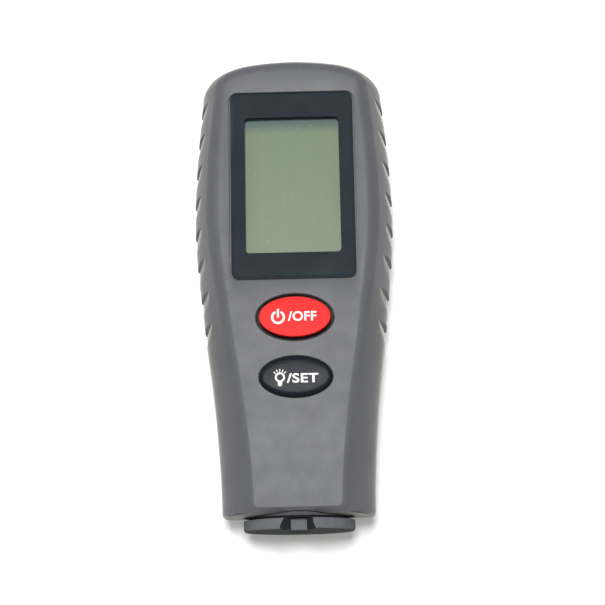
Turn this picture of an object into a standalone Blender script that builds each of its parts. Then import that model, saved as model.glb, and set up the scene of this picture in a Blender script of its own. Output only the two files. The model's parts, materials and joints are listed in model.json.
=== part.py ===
"""A pocket coating thickness gauge, lying on its back.

X runs across the gauge, Y from the probe foot towards the display end, Z out of the face. The origin is under
the middle of the gauge, on the surface that it lies on.
"""

import math

import bmesh
import bpy
import numpy as np
from mathutils import Matrix, Vector

mm = 0.001

# Clearance between pieces that touch on the real gauge
gap = 0.3 * mm

# Case
foot_reach = 3.0 * mm
wall = 1.8 * mm
head_arch_radius = 62.0 * mm
head_corner = 8.5 * mm
foot_corner = 1.2 * mm

# Half widths of the case at the parting line, from the foot end to the display end
foot_half = 16.5 * mm
waist_half = 17.85 * mm
flare_half = 20.6 * mm
grip_half = 22.45 * mm
head_half = 20.3 * mm
half_places = (0.0, 0.21, 0.40, 0.635, 0.92)

# Front shoulder: a crease along each side, and the roll between it and the flat panel
crease_inset_foot = 6.2 * mm
crease_inset_flare = 4.6 * mm
crease_inset_head = 4.4 * mm
crease_places = (0.0, 0.40, 0.635, 0.92)
crease_inset_foot_end = 0.6 * mm
crease_inset_head_end = 3.3 * mm
crease_angle_foot = 42.0
crease_angle_grip = 56.0
crease_angle_foot_end = 72.0
crease_angle_head_end = 60.0
roll_foot = 1.4 * mm
roll_grip = 2.4 * mm
roll_head = 2.2 * mm
roll_places = (0.0, 0.60, 0.92)
panel_border = 2.3 * mm
roll_foot_end = 1.4 * mm
roll_head_end = 1.9 * mm
panel_slope_foot = 0.7
panel_slope_grip = 0.07
crease_slope = 0.84
change_start = 0.25
change_length = 0.25

# Rear edge: a plain rounded one
rear_crease_inset = 2.0 * mm
rear_crease_inset_end = 1.4 * mm
rear_roll = 2.0 * mm
rear_roll_end = 1.8 * mm
rear_panel_slope = 0.05
rear_crease_slope = 0.75
rear_angle = 48.0

# Grip scallops on each side
grip_count = 8
grip_pitch = 7.32 * mm
grip_head = 12.4 * mm
grip_ramp = 3.8 * mm
grip_lip = 0.3 * mm
grip_depth_head = 0.4 * mm
grip_depth_foot = 0.75 * mm
grip_slant = 0.15
grip_knee = 0.4

# Window and display
window_width = 27.2 * mm
window_length = 42.4 * mm
window_thickness = 0.9 * mm
window_corner = 1.6 * mm
window_head = 10.7 * mm
glass_lap_side = 0.9 * mm
glass_lap_end = 2.0 * mm
glass_width = 24.2 * mm
glass_length = 36.0 * mm
glass_thickness = 2.8 * mm
light_thickness = 1.6 * mm
frame_wall = 0.9 * mm
frame_floor = 1.2 * mm
connector_inset = 1.1 * mm
connector_depth = 2.2 * mm

# Keys
key_width = 15.7 * mm
key_height = 8.9 * mm
key_clearance = 0.5 * mm
key_rise = 1.0 * mm
key_edge = 0.9 * mm
key_crown = 0.25 * mm
key_crown_inner = 0.06 * mm
key_flange = 1.75 * mm
key_flange_thickness = 0.9 * mm
key_stem = 0.55 * mm
key_travel = 0.5 * mm
key_pitch = 13.0 * mm
key_to_window = 8.7 * mm
unit_key_place = 29.1 * mm
dish_width = 0.75 * mm
dish_depth = 0.7 * mm

# Circuit board and what is on it
board_thickness = 1.2 * mm
board_head_half = 16.0 * mm
board_foot_half = 8.6 * mm
board_rest_half = 8.9 * mm
board_rest_length = 25.0 * mm
board_waist_half = 12.4 * mm
board_waist_slope = 1.0 * mm
board_shoulder_from_key = 11.9 * mm
board_foot_from_key = 5.1 * mm
board_head_past_glass = 2.0 * mm
chip_size = 10.0 * mm
chip_thickness = 1.4 * mm
chip_clearance = 0.45 * mm
switch_size = 6.0 * mm
switch_height = 3.5 * mm
switch_well = 2.0 * mm
plunger_radius = 1.65 * mm
plunger_play = 0.15 * mm

# Battery bay in the back, for two cells side by side
cell_radius = 5.25 * mm
cell_length = 44.5 * mm
cell_gap = 0.5 * mm
cell_button_radius = 1.9 * mm
cell_button_height = 0.8 * mm
cell_play = 6.5 * mm
bay_margin = 0.35 * mm
bay_wall = 1.2 * mm
door_thickness = 1.5 * mm
door_sunk = 0.2 * mm
door_lap = 1.7 * mm
door_corner = 2.0 * mm
door_tab_length = 1.5 * mm
door_tab_width = 4.0 * mm
door_tab_spacing = 14.0 * mm
door_tab_thickness = 0.8 * mm
door_tab_headroom = 1.2 * mm
finger_radius = 6.0 * mm
finger_depth = 0.9 * mm
contact_width = 8.0 * mm
contact_thickness = 0.5 * mm
contact_tail_width = 2.0 * mm
spring_wire = 0.35 * mm
spring_base_radius = 3.4 * mm
spring_tip_radius = 2.0 * mm
spring_turns = 3

# Probe: a sprung sleeve round a sensor that is fixed in the case
foot_radius = 12.15 * mm
foot_thickness = 2.0 * mm
foot_round = 0.5 * mm
neck_step = 0.55 * mm
neck_bore_clearance = 0.5 * mm
neck_inner = 4.0 * mm
sleeve_radius = 9.0 * mm
sleeve_wall = 1.8 * mm
sleeve_end = 17.7 * mm
sleeve_floor = 1.8 * mm
tip_hole_radius = 2.4 * mm
probe_travel = 0.8 * mm
notch_half_outer = 4.4 * mm
notch_half_inner = 3.2 * mm
notch_floor_half = 1.7 * mm
notch_depth = 4.1 * mm
notch_length = 2.5 * mm
guide_place = 12.4 * mm
guide_thickness = 2.5 * mm
guide_radius = 10.9 * mm
guide_ear_play = 0.7 * mm
guide_ear_half_height = 4.0 * mm
retainer_thickness = 0.7 * mm
retainer_reach = 1.2 * mm
retainer_groove = 0.4 * mm
holder_thickness = 2.0 * mm
holder_gap = 1.4 * mm
rib_thickness = 1.2 * mm
rib_play = 0.5 * mm
core_radius = 1.5 * mm
bobbin_play = 0.7 * mm
bobbin_barrel = 1.2 * mm
bobbin_flange = 1.5 * mm
coil_inset = 0.5 * mm
probe_wire = 0.4 * mm
probe_turns = 4
lead_radius = 0.5 * mm
lead_spacing = 3.0 * mm
lead_overlap = 2.0 * mm

# Screws
screw_radius = 0.75 * mm
screw_head_radius = 1.5 * mm
screw_head_height = 1.2 * mm
screw_head_bevel = 0.45 * mm
screw_length = 13.0 * mm
boss_radius = 2.6 * mm
boss_seat = 7.0 * mm
head_screw_inset = 6.5 * mm
head_screw_half = 11.0 * mm
foot_screw_inset = 22.5 * mm
foot_screw_half = 11.8 * mm
board_screw_from_key = 4.9 * mm
board_screw_half = 12.3 * mm
board_screw_length = 4.6 * mm

# Sizes and places that follow from those above
crease_inset_grip = grip_half - roll_grip - panel_border - gap - window_width / 2
power_key_place = unit_key_place + key_pitch
window_place = power_key_place + key_to_window + window_length / 2
case_length = window_place + window_length / 2 + window_head
aperture_width = glass_width - 2 * glass_lap_side
aperture_length = glass_length - 2 * glass_lap_end
connector_width = glass_width - 2 * connector_inset
frame_half_width = glass_width / 2 + gap + frame_wall
frame_half_length = glass_length / 2 + gap + frame_wall
cell_spacing = 2 * cell_radius + cell_gap
bay_length = cell_length + cell_play
bay_half = cell_spacing / 2 + cell_radius + bay_margin
recess_depth = door_sunk + door_thickness + gap
bay_ceiling = recess_depth + 2 * cell_radius + bay_margin
board_bottom = bay_ceiling + bay_wall + chip_clearance + chip_thickness + gap
board_top = board_bottom + board_thickness
under_panel = board_top + frame_floor + light_thickness + glass_thickness + 4 * gap
case_thickness = under_panel + wall
overall_length = case_length + foot_reach
foot_y = foot_reach - overall_length / 2
head_y = foot_y + case_length
mid_z = case_thickness / 2
window_y = foot_y + window_place
pocket_depth = window_thickness + gap
glass_top = under_panel - gap
glass_bottom = glass_top - glass_thickness
neck_radius = foot_radius - neck_step
sleeve_bore = sleeve_radius - sleeve_wall
guide_ear_reach = foot_half - wall - guide_ear_play
rib_inner = guide_radius + rib_play
foot_screw_place = foot_screw_inset
head_screw_place = case_length - head_screw_inset
board_screw_place = power_key_place + board_screw_from_key
bay_y = (foot_y + foot_screw_inset + head_y - head_screw_inset - door_tab_length - 2 * bay_wall) / 2
screw_hole_radius = screw_radius + gap
door_half_width = bay_half + door_lap
door_half_length = bay_length / 2 + door_lap


def clear_scene():
    for obj in list(bpy.data.objects):
        bpy.data.objects.remove(obj, do_unlink=True)


def new_collection(name):
    collection = bpy.data.collections.new(name)
    bpy.context.scene.collection.children.link(collection)
    return collection


clear_scene()
parts = new_collection("coating_thickness_gauge")
tools = new_collection("cutters")


def material(name, colour, roughness, metallic=0.0, alpha=1.0):
    made = bpy.data.materials.new(name)
    made.use_nodes = True
    shader = made.node_tree.nodes["Principled BSDF"]
    shader.inputs["Base Color"].default_value = (*colour, 1.0)
    shader.inputs["Roughness"].default_value = roughness
    shader.inputs["Metallic"].default_value = metallic
    shader.inputs["Alpha"].default_value = alpha
    return made


case_plastic = material("case_plastic", (0.23, 0.23, 0.24), 0.55)
rear_plastic = material("rear_plastic", (0.22, 0.22, 0.23), 0.55)
door_plastic = material("door_plastic", (0.22, 0.22, 0.23), 0.55)
window_plastic = material("window_plastic", (0.03, 0.04, 0.05), 0.08, alpha=0.6)
display_glass = material("display_glass", (0.27, 0.35, 0.22), 0.3)
red_plastic = material("red_plastic", (0.95, 0.06, 0.05), 0.4)
dark_plastic = material("dark_plastic", (0.07, 0.08, 0.10), 0.45)
probe_plastic = material("probe_plastic", (0.13, 0.14, 0.16), 0.5)
white_plastic = material("white_plastic", (0.8, 0.8, 0.78), 0.5)
black_plastic = material("black_plastic", (0.02, 0.02, 0.02), 0.5)
rubber = material("rubber", (0.45, 0.35, 0.4), 0.8)
board_green = material("board_green", (0.02, 0.16, 0.07), 0.45)
nickel = material("nickel", (0.6, 0.58, 0.52), 0.3, 1.0)
spring_steel = material("spring_steel", (0.5, 0.5, 0.5), 0.3, 1.0)
screw_steel = material("screw_steel", (0.12, 0.12, 0.12), 0.35, 1.0)
copper = material("copper", (0.7, 0.3, 0.12), 0.35, 1.0)
cell_skin = material("cell_skin", (0.2, 0.22, 0.25), 0.35)
lead_skin = material("lead_skin", (0.5, 0.03, 0.03), 0.5)


def placed(name, mesh, finish):
    """An object in the gauge's collection, or a cutter where it has no finish."""
    obj = bpy.data.objects.new(name, mesh)
    if finish is None:
        obj.hide_render = True
        obj.display_type = "WIRE"
        tools.objects.link(obj)
    else:
        mesh.materials.append(finish)
        parts.objects.link(obj)
    return obj


def mesh_of(bm, name):
    mesh = bpy.data.meshes.new(name)
    bm.to_mesh(mesh)
    bm.free()
    return mesh


def box(name, low, high, finish=None, corner=0.0, origin=(0.0, 0.0, 0.0)):
    """A box between two corners, its upright edges rounded by corner."""
    low, high, origin = Vector(low), Vector(high), Vector(origin)
    bm = bmesh.new()
    bmesh.ops.create_cube(bm, size=1.0)
    for vert in bm.verts:
        share = vert.co + Vector((0.5, 0.5, 0.5))
        vert.co = Vector(a + (b - a) * s for a, b, s in zip(low, high, share)) - origin
    if corner:
        upright = [e for e in bm.edges if abs(e.verts[0].co.z - e.verts[1].co.z) > gap / 10]
        bmesh.ops.bevel(bm, geom=upright, offset=corner, segments=4, profile=0.5, affect="EDGES")
    obj = placed(name, mesh_of(bm, name), finish)
    obj.location = origin
    return obj


def drum(name, radius, low, high, place, finish=None, along="Z", top_radius=None, squash=1.0, segments=32):
    """A cylinder or cone from low to high along Z or Y; squash scales it in Y when it stands along Z."""
    bm = bmesh.new()
    bmesh.ops.create_cone(
        bm,
        cap_ends=True,
        segments=segments,
        radius1=radius,
        radius2=radius if top_radius is None else top_radius,
        depth=high - low,
    )
    bmesh.ops.translate(bm, verts=bm.verts, vec=(0, 0, (low + high) / 2))
    bmesh.ops.scale(bm, verts=bm.verts, vec=(1, squash, 1))
    if along == "Y":
        bmesh.ops.rotate(bm, verts=bm.verts, matrix=Matrix.Rotation(-math.pi / 2, 3, "X"))
    obj = placed(name, mesh_of(bm, name), finish)
    obj.location = place
    obj.data.shade_smooth()
    obj.data.set_sharp_from_angle(angle=math.radians(40))
    return obj


def turned(name, profile, place, finish, along="Z", ring=False, squash=1.0, segments=32):
    """A profile of (radius, height), outer side from top to bottom, turned about Z, or laid along Y."""
    mesh = bpy.data.meshes.new(name)
    count = len(profile)
    edges = [(i, i + 1) for i in range(count - 1)]
    if ring:
        edges.append((count - 1, 0))
    mesh.from_pydata([(radius, 0.0, height) for radius, height in profile], edges, [])
    obj = placed(name, mesh, finish)
    obj.location = place
    obj.scale = (1.0, squash, 1.0)
    if along == "Y":
        obj.rotation_euler = (-math.pi / 2, 0.0, 0.0)
    screw = obj.modifiers.new("turn", "SCREW")
    screw.steps = screw.render_steps = segments
    screw.use_merge_vertices = True
    screw.merge_threshold = 1e-6
    screw.use_smooth_shade = True
    return obj


def wire(name, points, radius, finish, resolution=2):
    """A round wire along a list of points."""
    curve = bpy.data.curves.new(name, "CURVE")
    curve.dimensions = "3D"
    curve.bevel_depth = radius
    curve.bevel_resolution = resolution
    curve.use_fill_caps = True
    line = curve.splines.new("POLY")
    line.points.add(len(points) - 1)
    for point, place in zip(line.points, points):
        point.co = (*place, 1.0)
    return placed(name, curve, finish)


def boolean(target, tool, operation):
    modifier = target.modifiers.new(f"{operation.lower()} {tool.name}", "BOOLEAN")
    modifier.operation = operation
    modifier.solver = "EXACT"
    modifier.object = tool


def cut(target, *cutters):
    for tool in cutters:
        boolean(target, tool, "DIFFERENCE")


def join(target, *additions):
    for tool in additions:
        boolean(target, tool, "UNION")


def smooth_through(places, values, at):
    """A cubic curve through (place, value) points, level at the first one."""
    places, values, at = (np.asarray(a, float) for a in (places, values, at))
    secants = np.diff(values) / np.diff(places)
    inner = (values[2:] - values[:-2]) / (places[2:] - places[:-2])
    slopes = np.concatenate([[0.0], inner, 1.5 * secants[-1:]])
    k = np.clip(np.searchsorted(places, at) - 1, 0, len(places) - 2)
    width = places[k + 1] - places[k]
    t = (at - places[k]) / width
    from_value = (2 * t**3 - 3 * t**2 + 1) * values[k] + (3 * t**2 - 2 * t**3) * values[k + 1]
    from_slope = (t**3 - 2 * t**2 + t) * slopes[k] + (t**3 - t**2) * slopes[k + 1]
    return from_value + from_slope * width


def silhouette(y):
    """Half width of the case at the parting line."""
    halves = (foot_half, waist_half, flare_half, grip_half, head_half)
    return smooth_through(half_places, halves, (y - foot_y) / case_length)


def side_rows():
    """Y of the rows along a side, and the depth of the grip scallops there: a sharp step, then a ramp."""
    first_step = head_y - grip_head - (grip_count - 1) * grip_pitch
    first_row = foot_y + crease_inset_foot_end + roll_foot_end + foot_corner + gap
    plain = np.linspace(first_row, first_step - grip_ramp, plain_rows)
    rows, depths = list(plain[:-1]), [0.0] * (len(plain) - 1)
    for number in range(grip_count):
        step = first_step + number * grip_pitch
        share = number / (grip_count - 1)
        depth = grip_depth_foot + (grip_depth_head - grip_depth_foot) * share
        rows += [step - grip_ramp, step - grip_knee * grip_ramp, step - grip_lip / 2, step + grip_lip / 2]
        depths += [0.0, (1 - grip_knee) * depth, depth, 0.0]
    rows.append(head_y - head_corner)
    depths.append(0.0)
    return np.array(rows), np.array(depths)


def front_profile(y):
    """Along a side: crease inset, roll width, slopes at panel and crease, angle below the crease."""
    along = (y - foot_y) / case_length
    insets = (crease_inset_foot, crease_inset_flare, crease_inset_grip, crease_inset_head)
    rolls = (roll_foot, roll_grip, roll_head)
    upper = np.clip((along - change_start) / change_length, 0.0, 1.0)
    return (
        smooth_through(crease_places, insets, along),
        smooth_through(roll_places, rolls, along),
        panel_slope_foot + (panel_slope_grip - panel_slope_foot) * upper,
        np.full_like(y, crease_slope),
        np.radians(crease_angle_foot + (crease_angle_grip - crease_angle_foot) * upper),
    )


def rear_profile(y):
    values = (rear_crease_inset, rear_roll, rear_panel_slope, rear_crease_slope, math.radians(rear_angle))
    return tuple(np.full_like(y, value) for value in values)


# The same five values across the foot end and across the display end
rear_end = (
    rear_crease_inset_end,
    rear_roll_end,
    rear_panel_slope,
    rear_crease_slope,
    math.radians(rear_angle),
)
rear_ends = (rear_end, rear_end)
front_foot_end = (
    crease_inset_foot_end,
    roll_foot_end,
    panel_slope_foot,
    crease_slope,
    math.radians(crease_angle_foot_end),
)
front_head_end = (
    crease_inset_head_end,
    roll_head_end,
    panel_slope_grip,
    crease_slope,
    math.radians(crease_angle_head_end),
)
front_ends = (front_foot_end, front_head_end)
foot_points, foot_corner_points, head_corner_points, head_points = 4, 3, 6, 4
plain_rows = 7

# Heights of the level lines, as shares of the curve from the parting line (0) to the crease, and of the roll
outer_steps = (1.0, 0.8, 0.6, 0.4, 0.2, 0.0), (0.66, 0.33, 0.0)
hollow_steps = (1.0, 0.6, 0.3, 0.0), (0.0,)

# How much of the wall comes off the crease inset and the roll of the hollow
crease_draw = 0.2
roll_draw = 0.3

# How much tighter than the outline the corners of the flat panel are
corner_draw = 0.15

# The scallops reach full depth at this share of the height to the crease
grip_fade = 0.55


def spread(foot, side, head):
    """A value along the half outline: across the foot end, along the side and across the display end."""
    into = np.linspace(0, 1, foot_corner_points + 1)
    out = np.linspace(0, 1, head_corner_points + 1)
    return np.concatenate(
        [
            np.full(foot_points, foot),
            foot + (side[0] - foot) * into,
            side,
            (side[-1] + (head - side[-1]) * out)[1:],
            np.full(head_points, head),
        ]
    )


def bend(start, corner, end, count):
    """Points on the curve from start to end that leans towards corner."""
    t = np.linspace(0, 1, count + 1)[:, None]
    return (1 - t) ** 2 * np.array(start) + 2 * t * (1 - t) * np.array(corner) + t**2 * np.array(end)


def half_outline(rows, inset, foot_inset, head_inset, corner_foot, corner_head, dents):
    """Right half of a level line of the shell, from the middle of the foot end to that of the display end."""
    low, high = foot_y + foot_inset, head_y - head_inset
    side = np.column_stack([silhouette(rows) - inset - dents, rows])

    def arch(x):
        return high - x**2 / (2 * head_arch_radius)

    start = silhouette(np.array(low + corner_foot)) - inset[0]
    foot_turn = bend((start - corner_foot, low), (start, low), (start, low + corner_foot), foot_corner_points)
    last = side[-1, 0]
    head_start, head_end = (last, rows[-1]), (last - corner_head, arch(last - corner_head))
    head_turn = bend(head_start, (last, arch(last)), head_end, head_corner_points)
    foot_x = np.linspace(0, foot_turn[0, 0], foot_points + 1)[:-1]
    head_x = np.linspace(last - corner_head, 0, head_points + 1)[1:]
    foot_line = np.column_stack([foot_x, np.full_like(foot_x, low)])
    head_line = np.column_stack([head_x, arch(head_x)])
    return np.concatenate([foot_line, foot_turn, side, head_turn[1:], head_line])


def shell_solid(name, facing, profile, ends, inset=0.0, finish=None):
    """Half of the case as a closed solid, from the parting line to its face. Facing is 1 in front, -1 behind.

    With an inset it is the hollow inside that half instead: smaller by the wall, without scallops, with its
    crease and roll drawn in a little, and carried past the parting line so that it can be cut out.
    """
    rows, depths = side_rows()
    if inset:
        rows = np.append(rows[:-1:4], rows[-1])
        depths = np.zeros_like(rows)
    height = mid_z - gap / 2 - inset
    grip_foot = head_y - grip_head - (grip_count - 1) * grip_pitch - grip_ramp
    side = profile(rows)
    crease, roll, panel_slope, crease_slope, angle = (
        spread(foot, values, head) for foot, values, head in zip(ends[0], side, ends[1])
    )
    crease_side = side[0] - crease_draw * inset
    roll_side = np.maximum(side[1] - roll_draw * inset, gap)
    crease_ends = [max(end[0] - crease_draw * inset, gap) for end in ends]
    roll_ends = [max(end[1] - roll_draw * inset, gap) for end in ends]
    crease = spread(crease_ends[0], crease_side, crease_ends[1])
    roll = spread(roll_ends[0], roll_side, roll_ends[1])
    crease_height = height - roll * (panel_slope + crease_slope) / 2
    pull = crease_height - crease * np.tan(angle)

    def line(share_crease, share_roll, lift, fade):
        """One level line: its shares of the crease inset and the roll, and its height for the row slant."""
        level = np.clip((rows - grip_foot) / grip_ramp, -1, 0) + 1
        shifted = rows + grip_slant * lift * level * (rows < rows[-1])
        tighter = 1 - corner_draw * (share_crease + share_roll)
        return half_outline(
            shifted,
            inset + share_crease * crease_side + share_roll * roll_side,
            inset + share_crease * crease_ends[0] + share_roll * roll_ends[0],
            inset + share_crease * crease_ends[1] + share_roll * roll_ends[1],
            foot_corner * tighter,
            head_corner * tighter,
            depths * fade,
        )

    lines, heights = [], []
    if inset:
        lines.append(line(0.0, 0.0, 0.0, 0.0))
        heights.append(np.full(len(lines[0]), -2 * wall))
    side_steps, roll_steps = hollow_steps if inset else outer_steps
    for t in side_steps:
        z = (1 - t) ** 2 * crease_height + 2 * t * (1 - t) * pull
        fade = min(1.0, t / grip_fade) ** 1.5
        lines.append(line((1 - t) ** 2, 0.0, float(np.median(z)), fade))
        heights.append(z)
    for s in roll_steps:
        z = height - roll * (panel_slope * s + (crease_slope - panel_slope) * s**2 / 2)
        lines.append(line(1.0, 1.0 - s, float(np.median(z)), 0.0))
        heights.append(z)

    points, count = [], 0
    for outline, z in zip(lines, heights):
        right = np.column_stack([outline, z])
        left = right[-2:0:-1] * (-1, 1, 1)
        loop = np.concatenate([right, left])
        loop[:, 2] = mid_z + facing * (gap / 2 + loop[:, 2])
        count = len(loop)
        points.append(loop)
    across = range(count)
    faces = []
    for level in range(len(points) - 1):
        low, high = level * count, (level + 1) * count
        faces += [(low + i, low + (i + 1) % count, high + (i + 1) % count, high + i) for i in across]
    faces.append(tuple(reversed(across)))
    faces.append(tuple((len(points) - 1) * count + i for i in across))
    if facing < 0:
        faces = [tuple(reversed(face)) for face in faces]
    mesh = bpy.data.meshes.new(name)
    mesh.from_pydata(np.concatenate(points).tolist(), [], faces)
    return placed(name, mesh, finish)


def at_screws():
    """Name, x and y of each case screw."""
    ends = (("display", head_screw_half, head_screw_place), ("probe", foot_screw_half, foot_screw_place))
    for end, half, place in ends:
        for side, sign in (("left", -1), ("right", 1)):
            yield f"{end}_{side}", sign * half, foot_y + place


def probe_ribs(prefix):
    """Upright ribs on both sides that hold the ears of the probe guide and of the sensor holder."""
    ribs = []
    held = (("guide", guide_start, guide_thickness), ("holder", holder_start, holder_thickness))
    for name, start, thickness in held:
        for end, low in (("front", start - gap - rib_thickness), ("back", start + thickness + gap)):
            for side, sign in (("left", -1), ("right", 1)):
                near, far = sorted((sign * rib_inner, sign * case_length))
                ribs.append(
                    box(
                        f"{prefix}_{name}_rib_{end}_{side}",
                        (near, low, -case_thickness),
                        (far, low + rib_thickness, 2 * case_thickness),
                    )
                )
    return ribs


guide_start = foot_y + guide_place - guide_thickness
sleeve_back = foot_y - foot_reach + sleeve_end
holder_start = sleeve_back + holder_gap
neck_back = foot_y + neck_inner
probe_hole = drum(
    "probe_hole",
    neck_radius + neck_bore_clearance,
    foot_y - foot_reach,
    neck_back + probe_travel + gap,
    (0.0, 0.0, mid_z),
    along="Y",
    segments=64,
)


def front_case():
    case = shell_solid("front_case", 1, front_profile, front_ends, finish=case_plastic)
    hollow = shell_solid("front_hollow", 1, front_profile, front_ends, inset=wall)
    for name, x, y in at_screws():
        cut(hollow, drum(f"front_boss_{name}", boss_radius, -mid_z, 2 * case_thickness, (x, y, 0.0)))
    for side, sign in (("left", -1), ("right", 1)):
        place = (sign * board_screw_half, foot_y + board_screw_place, 0.0)
        cut(hollow, drum(f"board_boss_{side}", boss_radius - gap, board_top + gap, 2 * case_thickness, place))
    cut(hollow, *probe_ribs("front"))
    cut(case, hollow, probe_hole)
    for name, x, y in at_screws():
        depth = boss_seat + screw_length
        cut(case, drum(f"front_pilot_{name}", screw_hole_radius, 0.0, depth, (x, y, 0.0), segments=16))
    for side, sign in (("left", -1), ("right", 1)):
        place = (sign * board_screw_half, foot_y + board_screw_place, 0.0)
        top = board_bottom + board_screw_length
        cut(case, drum(f"board_pilot_{side}", screw_hole_radius, 0.0, top, place, segments=16))
    across, along = window_width / 2 + gap, window_length / 2 + gap
    cut(
        case,
        box(
            "window_pocket",
            (-across, window_y - along, case_thickness - pocket_depth),
            (across, window_y + along, case_thickness + wall),
            corner=window_corner + gap,
        ),
        box(
            "display_aperture",
            (-aperture_width / 2, window_y - aperture_length / 2, under_panel - wall),
            (aperture_width / 2, window_y + aperture_length / 2, case_thickness),
            corner=window_corner / 2,
        ),
        box(
            "display_room",
            (-frame_half_width - gap, window_y - frame_half_length - gap, board_top),
            (frame_half_width + gap, window_y + frame_half_length + gap, under_panel),
        ),
    )
    for name, place in (("power", power_key_place), ("unit", unit_key_place)):
        half = key_width / 2 + key_clearance
        ratio = (key_height / 2 + key_clearance) / half
        centre = (0.0, foot_y + place, 0.0)
        dish_bottom = case_thickness - dish_depth
        low, high = under_panel - wall, case_thickness + wall
        cut(
            case,
            drum(f"{name}_hole", half, low, high, centre, squash=ratio, segments=48),
            drum(
                f"{name}_dish",
                half - gap,
                dish_bottom,
                case_thickness + dish_depth,
                centre,
                top_radius=half + 2 * dish_width,
                squash=ratio,
                segments=48,
            ),
        )


def rear_case():
    case = shell_solid("rear_case", -1, rear_profile, rear_ends, finish=rear_plastic)
    hollow = shell_solid("rear_hollow", -1, rear_profile, rear_ends, inset=wall)
    for name, x, y in at_screws():
        cut(hollow, drum(f"rear_boss_{name}", boss_radius, -mid_z, 2 * case_thickness, (x, y, 0.0)))
    cut(hollow, *probe_ribs("rear"))
    cut(case, hollow, probe_hole)
    outer = bay_half + bay_wall
    bay_end = bay_length / 2 + bay_wall
    bay_top = bay_ceiling + bay_wall
    join(
        case,
        box("bay_walls", (-outer, bay_y - bay_end, wall / 2), (outer, bay_y + bay_end, bay_top)),
        box(
            "tab_block",
            (-outer, bay_y + bay_length / 2, wall / 2),
            (outer, bay_y + door_half_length + door_tab_length + 2 * bay_wall, 2 * recess_depth),
        ),
    )
    for side, sign in (("left", -1), ("right", 1)):
        rest = sign * board_rest_half
        join(
            case,
            box(
                f"board_rest_{side}",
                (rest - bay_wall / 2, bay_y - board_rest_length / 2, bay_ceiling),
                (rest + bay_wall / 2, bay_y + board_rest_length / 2, board_bottom - gap),
            ),
        )
    reach = door_half_length + gap
    bay_foot, bay_head = bay_y - bay_length / 2, bay_y + bay_length / 2
    cut(
        case,
        box("bay_hollow", (-bay_half, bay_foot, -wall), (bay_half, bay_head, bay_ceiling)),
        box(
            "door_recess",
            (-door_half_width - gap, bay_y - reach, -wall),
            (door_half_width + gap, bay_y + reach, recess_depth),
            corner=door_corner + gap,
        ),
    )
    for side, sign in (("left", -1), ("right", 1)):
        centre = sign * door_tab_spacing / 2
        half = door_tab_width / 2 + gap
        tab_bottom = door_sunk + door_thickness - door_tab_thickness
        slot_top = tab_bottom + door_tab_thickness + door_tab_headroom
        cut(
            case,
            box(
                f"tab_slot_{side}",
                (centre - half, bay_y + door_half_length - door_lap, tab_bottom - gap),
                (centre + half, bay_y + reach + door_tab_length + gap, slot_top),
            ),
        )
    for name, x, y in at_screws():
        cut(
            case,
            drum(f"counterbore_{name}", screw_head_radius + gap, -wall, boss_seat, (x, y, 0.0), segments=24),
            drum(f"rear_clearance_{name}", screw_hole_radius, 0.0, case_thickness, (x, y, 0.0), segments=16),
        )
    half = contact_tail_width / 2 + gap
    slot_foot = bay_head - contact_thickness - 2 * gap
    for side, sign in (("left", -1), ("right", 1)):
        x = sign * cell_spacing / 2
        low, high = (x - half, slot_foot, bay_ceiling - wall), (x + half, bay_head, case_thickness)
        cut(case, box(f"contact_slot_{side}", low, high))
    scoop_place = (0.0, bay_y - door_half_length - gap, 0.0)
    finger = drum("finger_scoop", finger_radius, -finger_radius, finger_radius, scoop_place)
    finger.rotation_euler = (0.0, math.pi / 2, 0.0)
    finger.location.z = finger_depth - finger_radius
    cut(case, finger)


def battery_door():
    hinge = (0.0, bay_y + door_half_length, door_sunk + door_thickness - door_tab_thickness)
    door = box(
        "battery_door",
        (-door_half_width, bay_y - door_half_length, door_sunk),
        (door_half_width, bay_y + door_half_length, door_sunk + door_thickness),
        door_plastic,
        corner=door_corner,
        origin=hinge,
    )
    for side, sign in (("left", -1), ("right", 1)):
        centre = sign * door_tab_spacing / 2
        join(
            door,
            box(
                f"door_tab_{side}",
                (centre - door_tab_width / 2, hinge[1] - door_lap, hinge[2]),
                (centre + door_tab_width / 2, hinge[1] + door_tab_length, door_sunk + door_thickness),
                origin=hinge,
            ),
        )


def display():
    across, along = window_width / 2, window_length / 2
    top = case_thickness - pocket_depth + gap
    box(
        "display_window",
        (-across, window_y - along, top),
        (across, window_y + along, top + window_thickness),
        window_plastic,
        corner=window_corner,
    )
    across, along = glass_width / 2, glass_length / 2
    low, high = (-across, window_y - along, glass_bottom), (across, window_y + along, glass_top)
    box("lcd_panel", low, high, display_glass)
    light_top = glass_bottom - gap
    strip_foot = window_y - along + gap
    strip_head = strip_foot + connector_depth
    box(
        "lcd_backlight",
        (-across, strip_head + gap, light_top - light_thickness),
        (across, window_y + along, light_top),
        white_plastic,
    )
    box(
        "lcd_connector",
        (-connector_width / 2, strip_foot, board_top + gap),
        (connector_width / 2, strip_head, light_top),
        rubber,
    )
    inner_x, inner_y = across + gap, along + gap
    outer_x, outer_y = frame_half_width, frame_half_length
    frame = box(
        "lcd_frame",
        (-outer_x, window_y - outer_y, board_top + gap),
        (outer_x, window_y + outer_y, glass_top),
        white_plastic,
    )
    well_low = (-inner_x, window_y - inner_y, light_top - light_thickness - gap)
    cut(
        frame,
        box("frame_well", well_low, (inner_x, window_y + inner_y, case_thickness)),
        box(
            "frame_slot",
            (-connector_width / 2 - gap, strip_foot - gap, board_top - frame_floor),
            (connector_width / 2 + gap, strip_head + gap / 2, case_thickness),
        ),
    )


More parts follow.
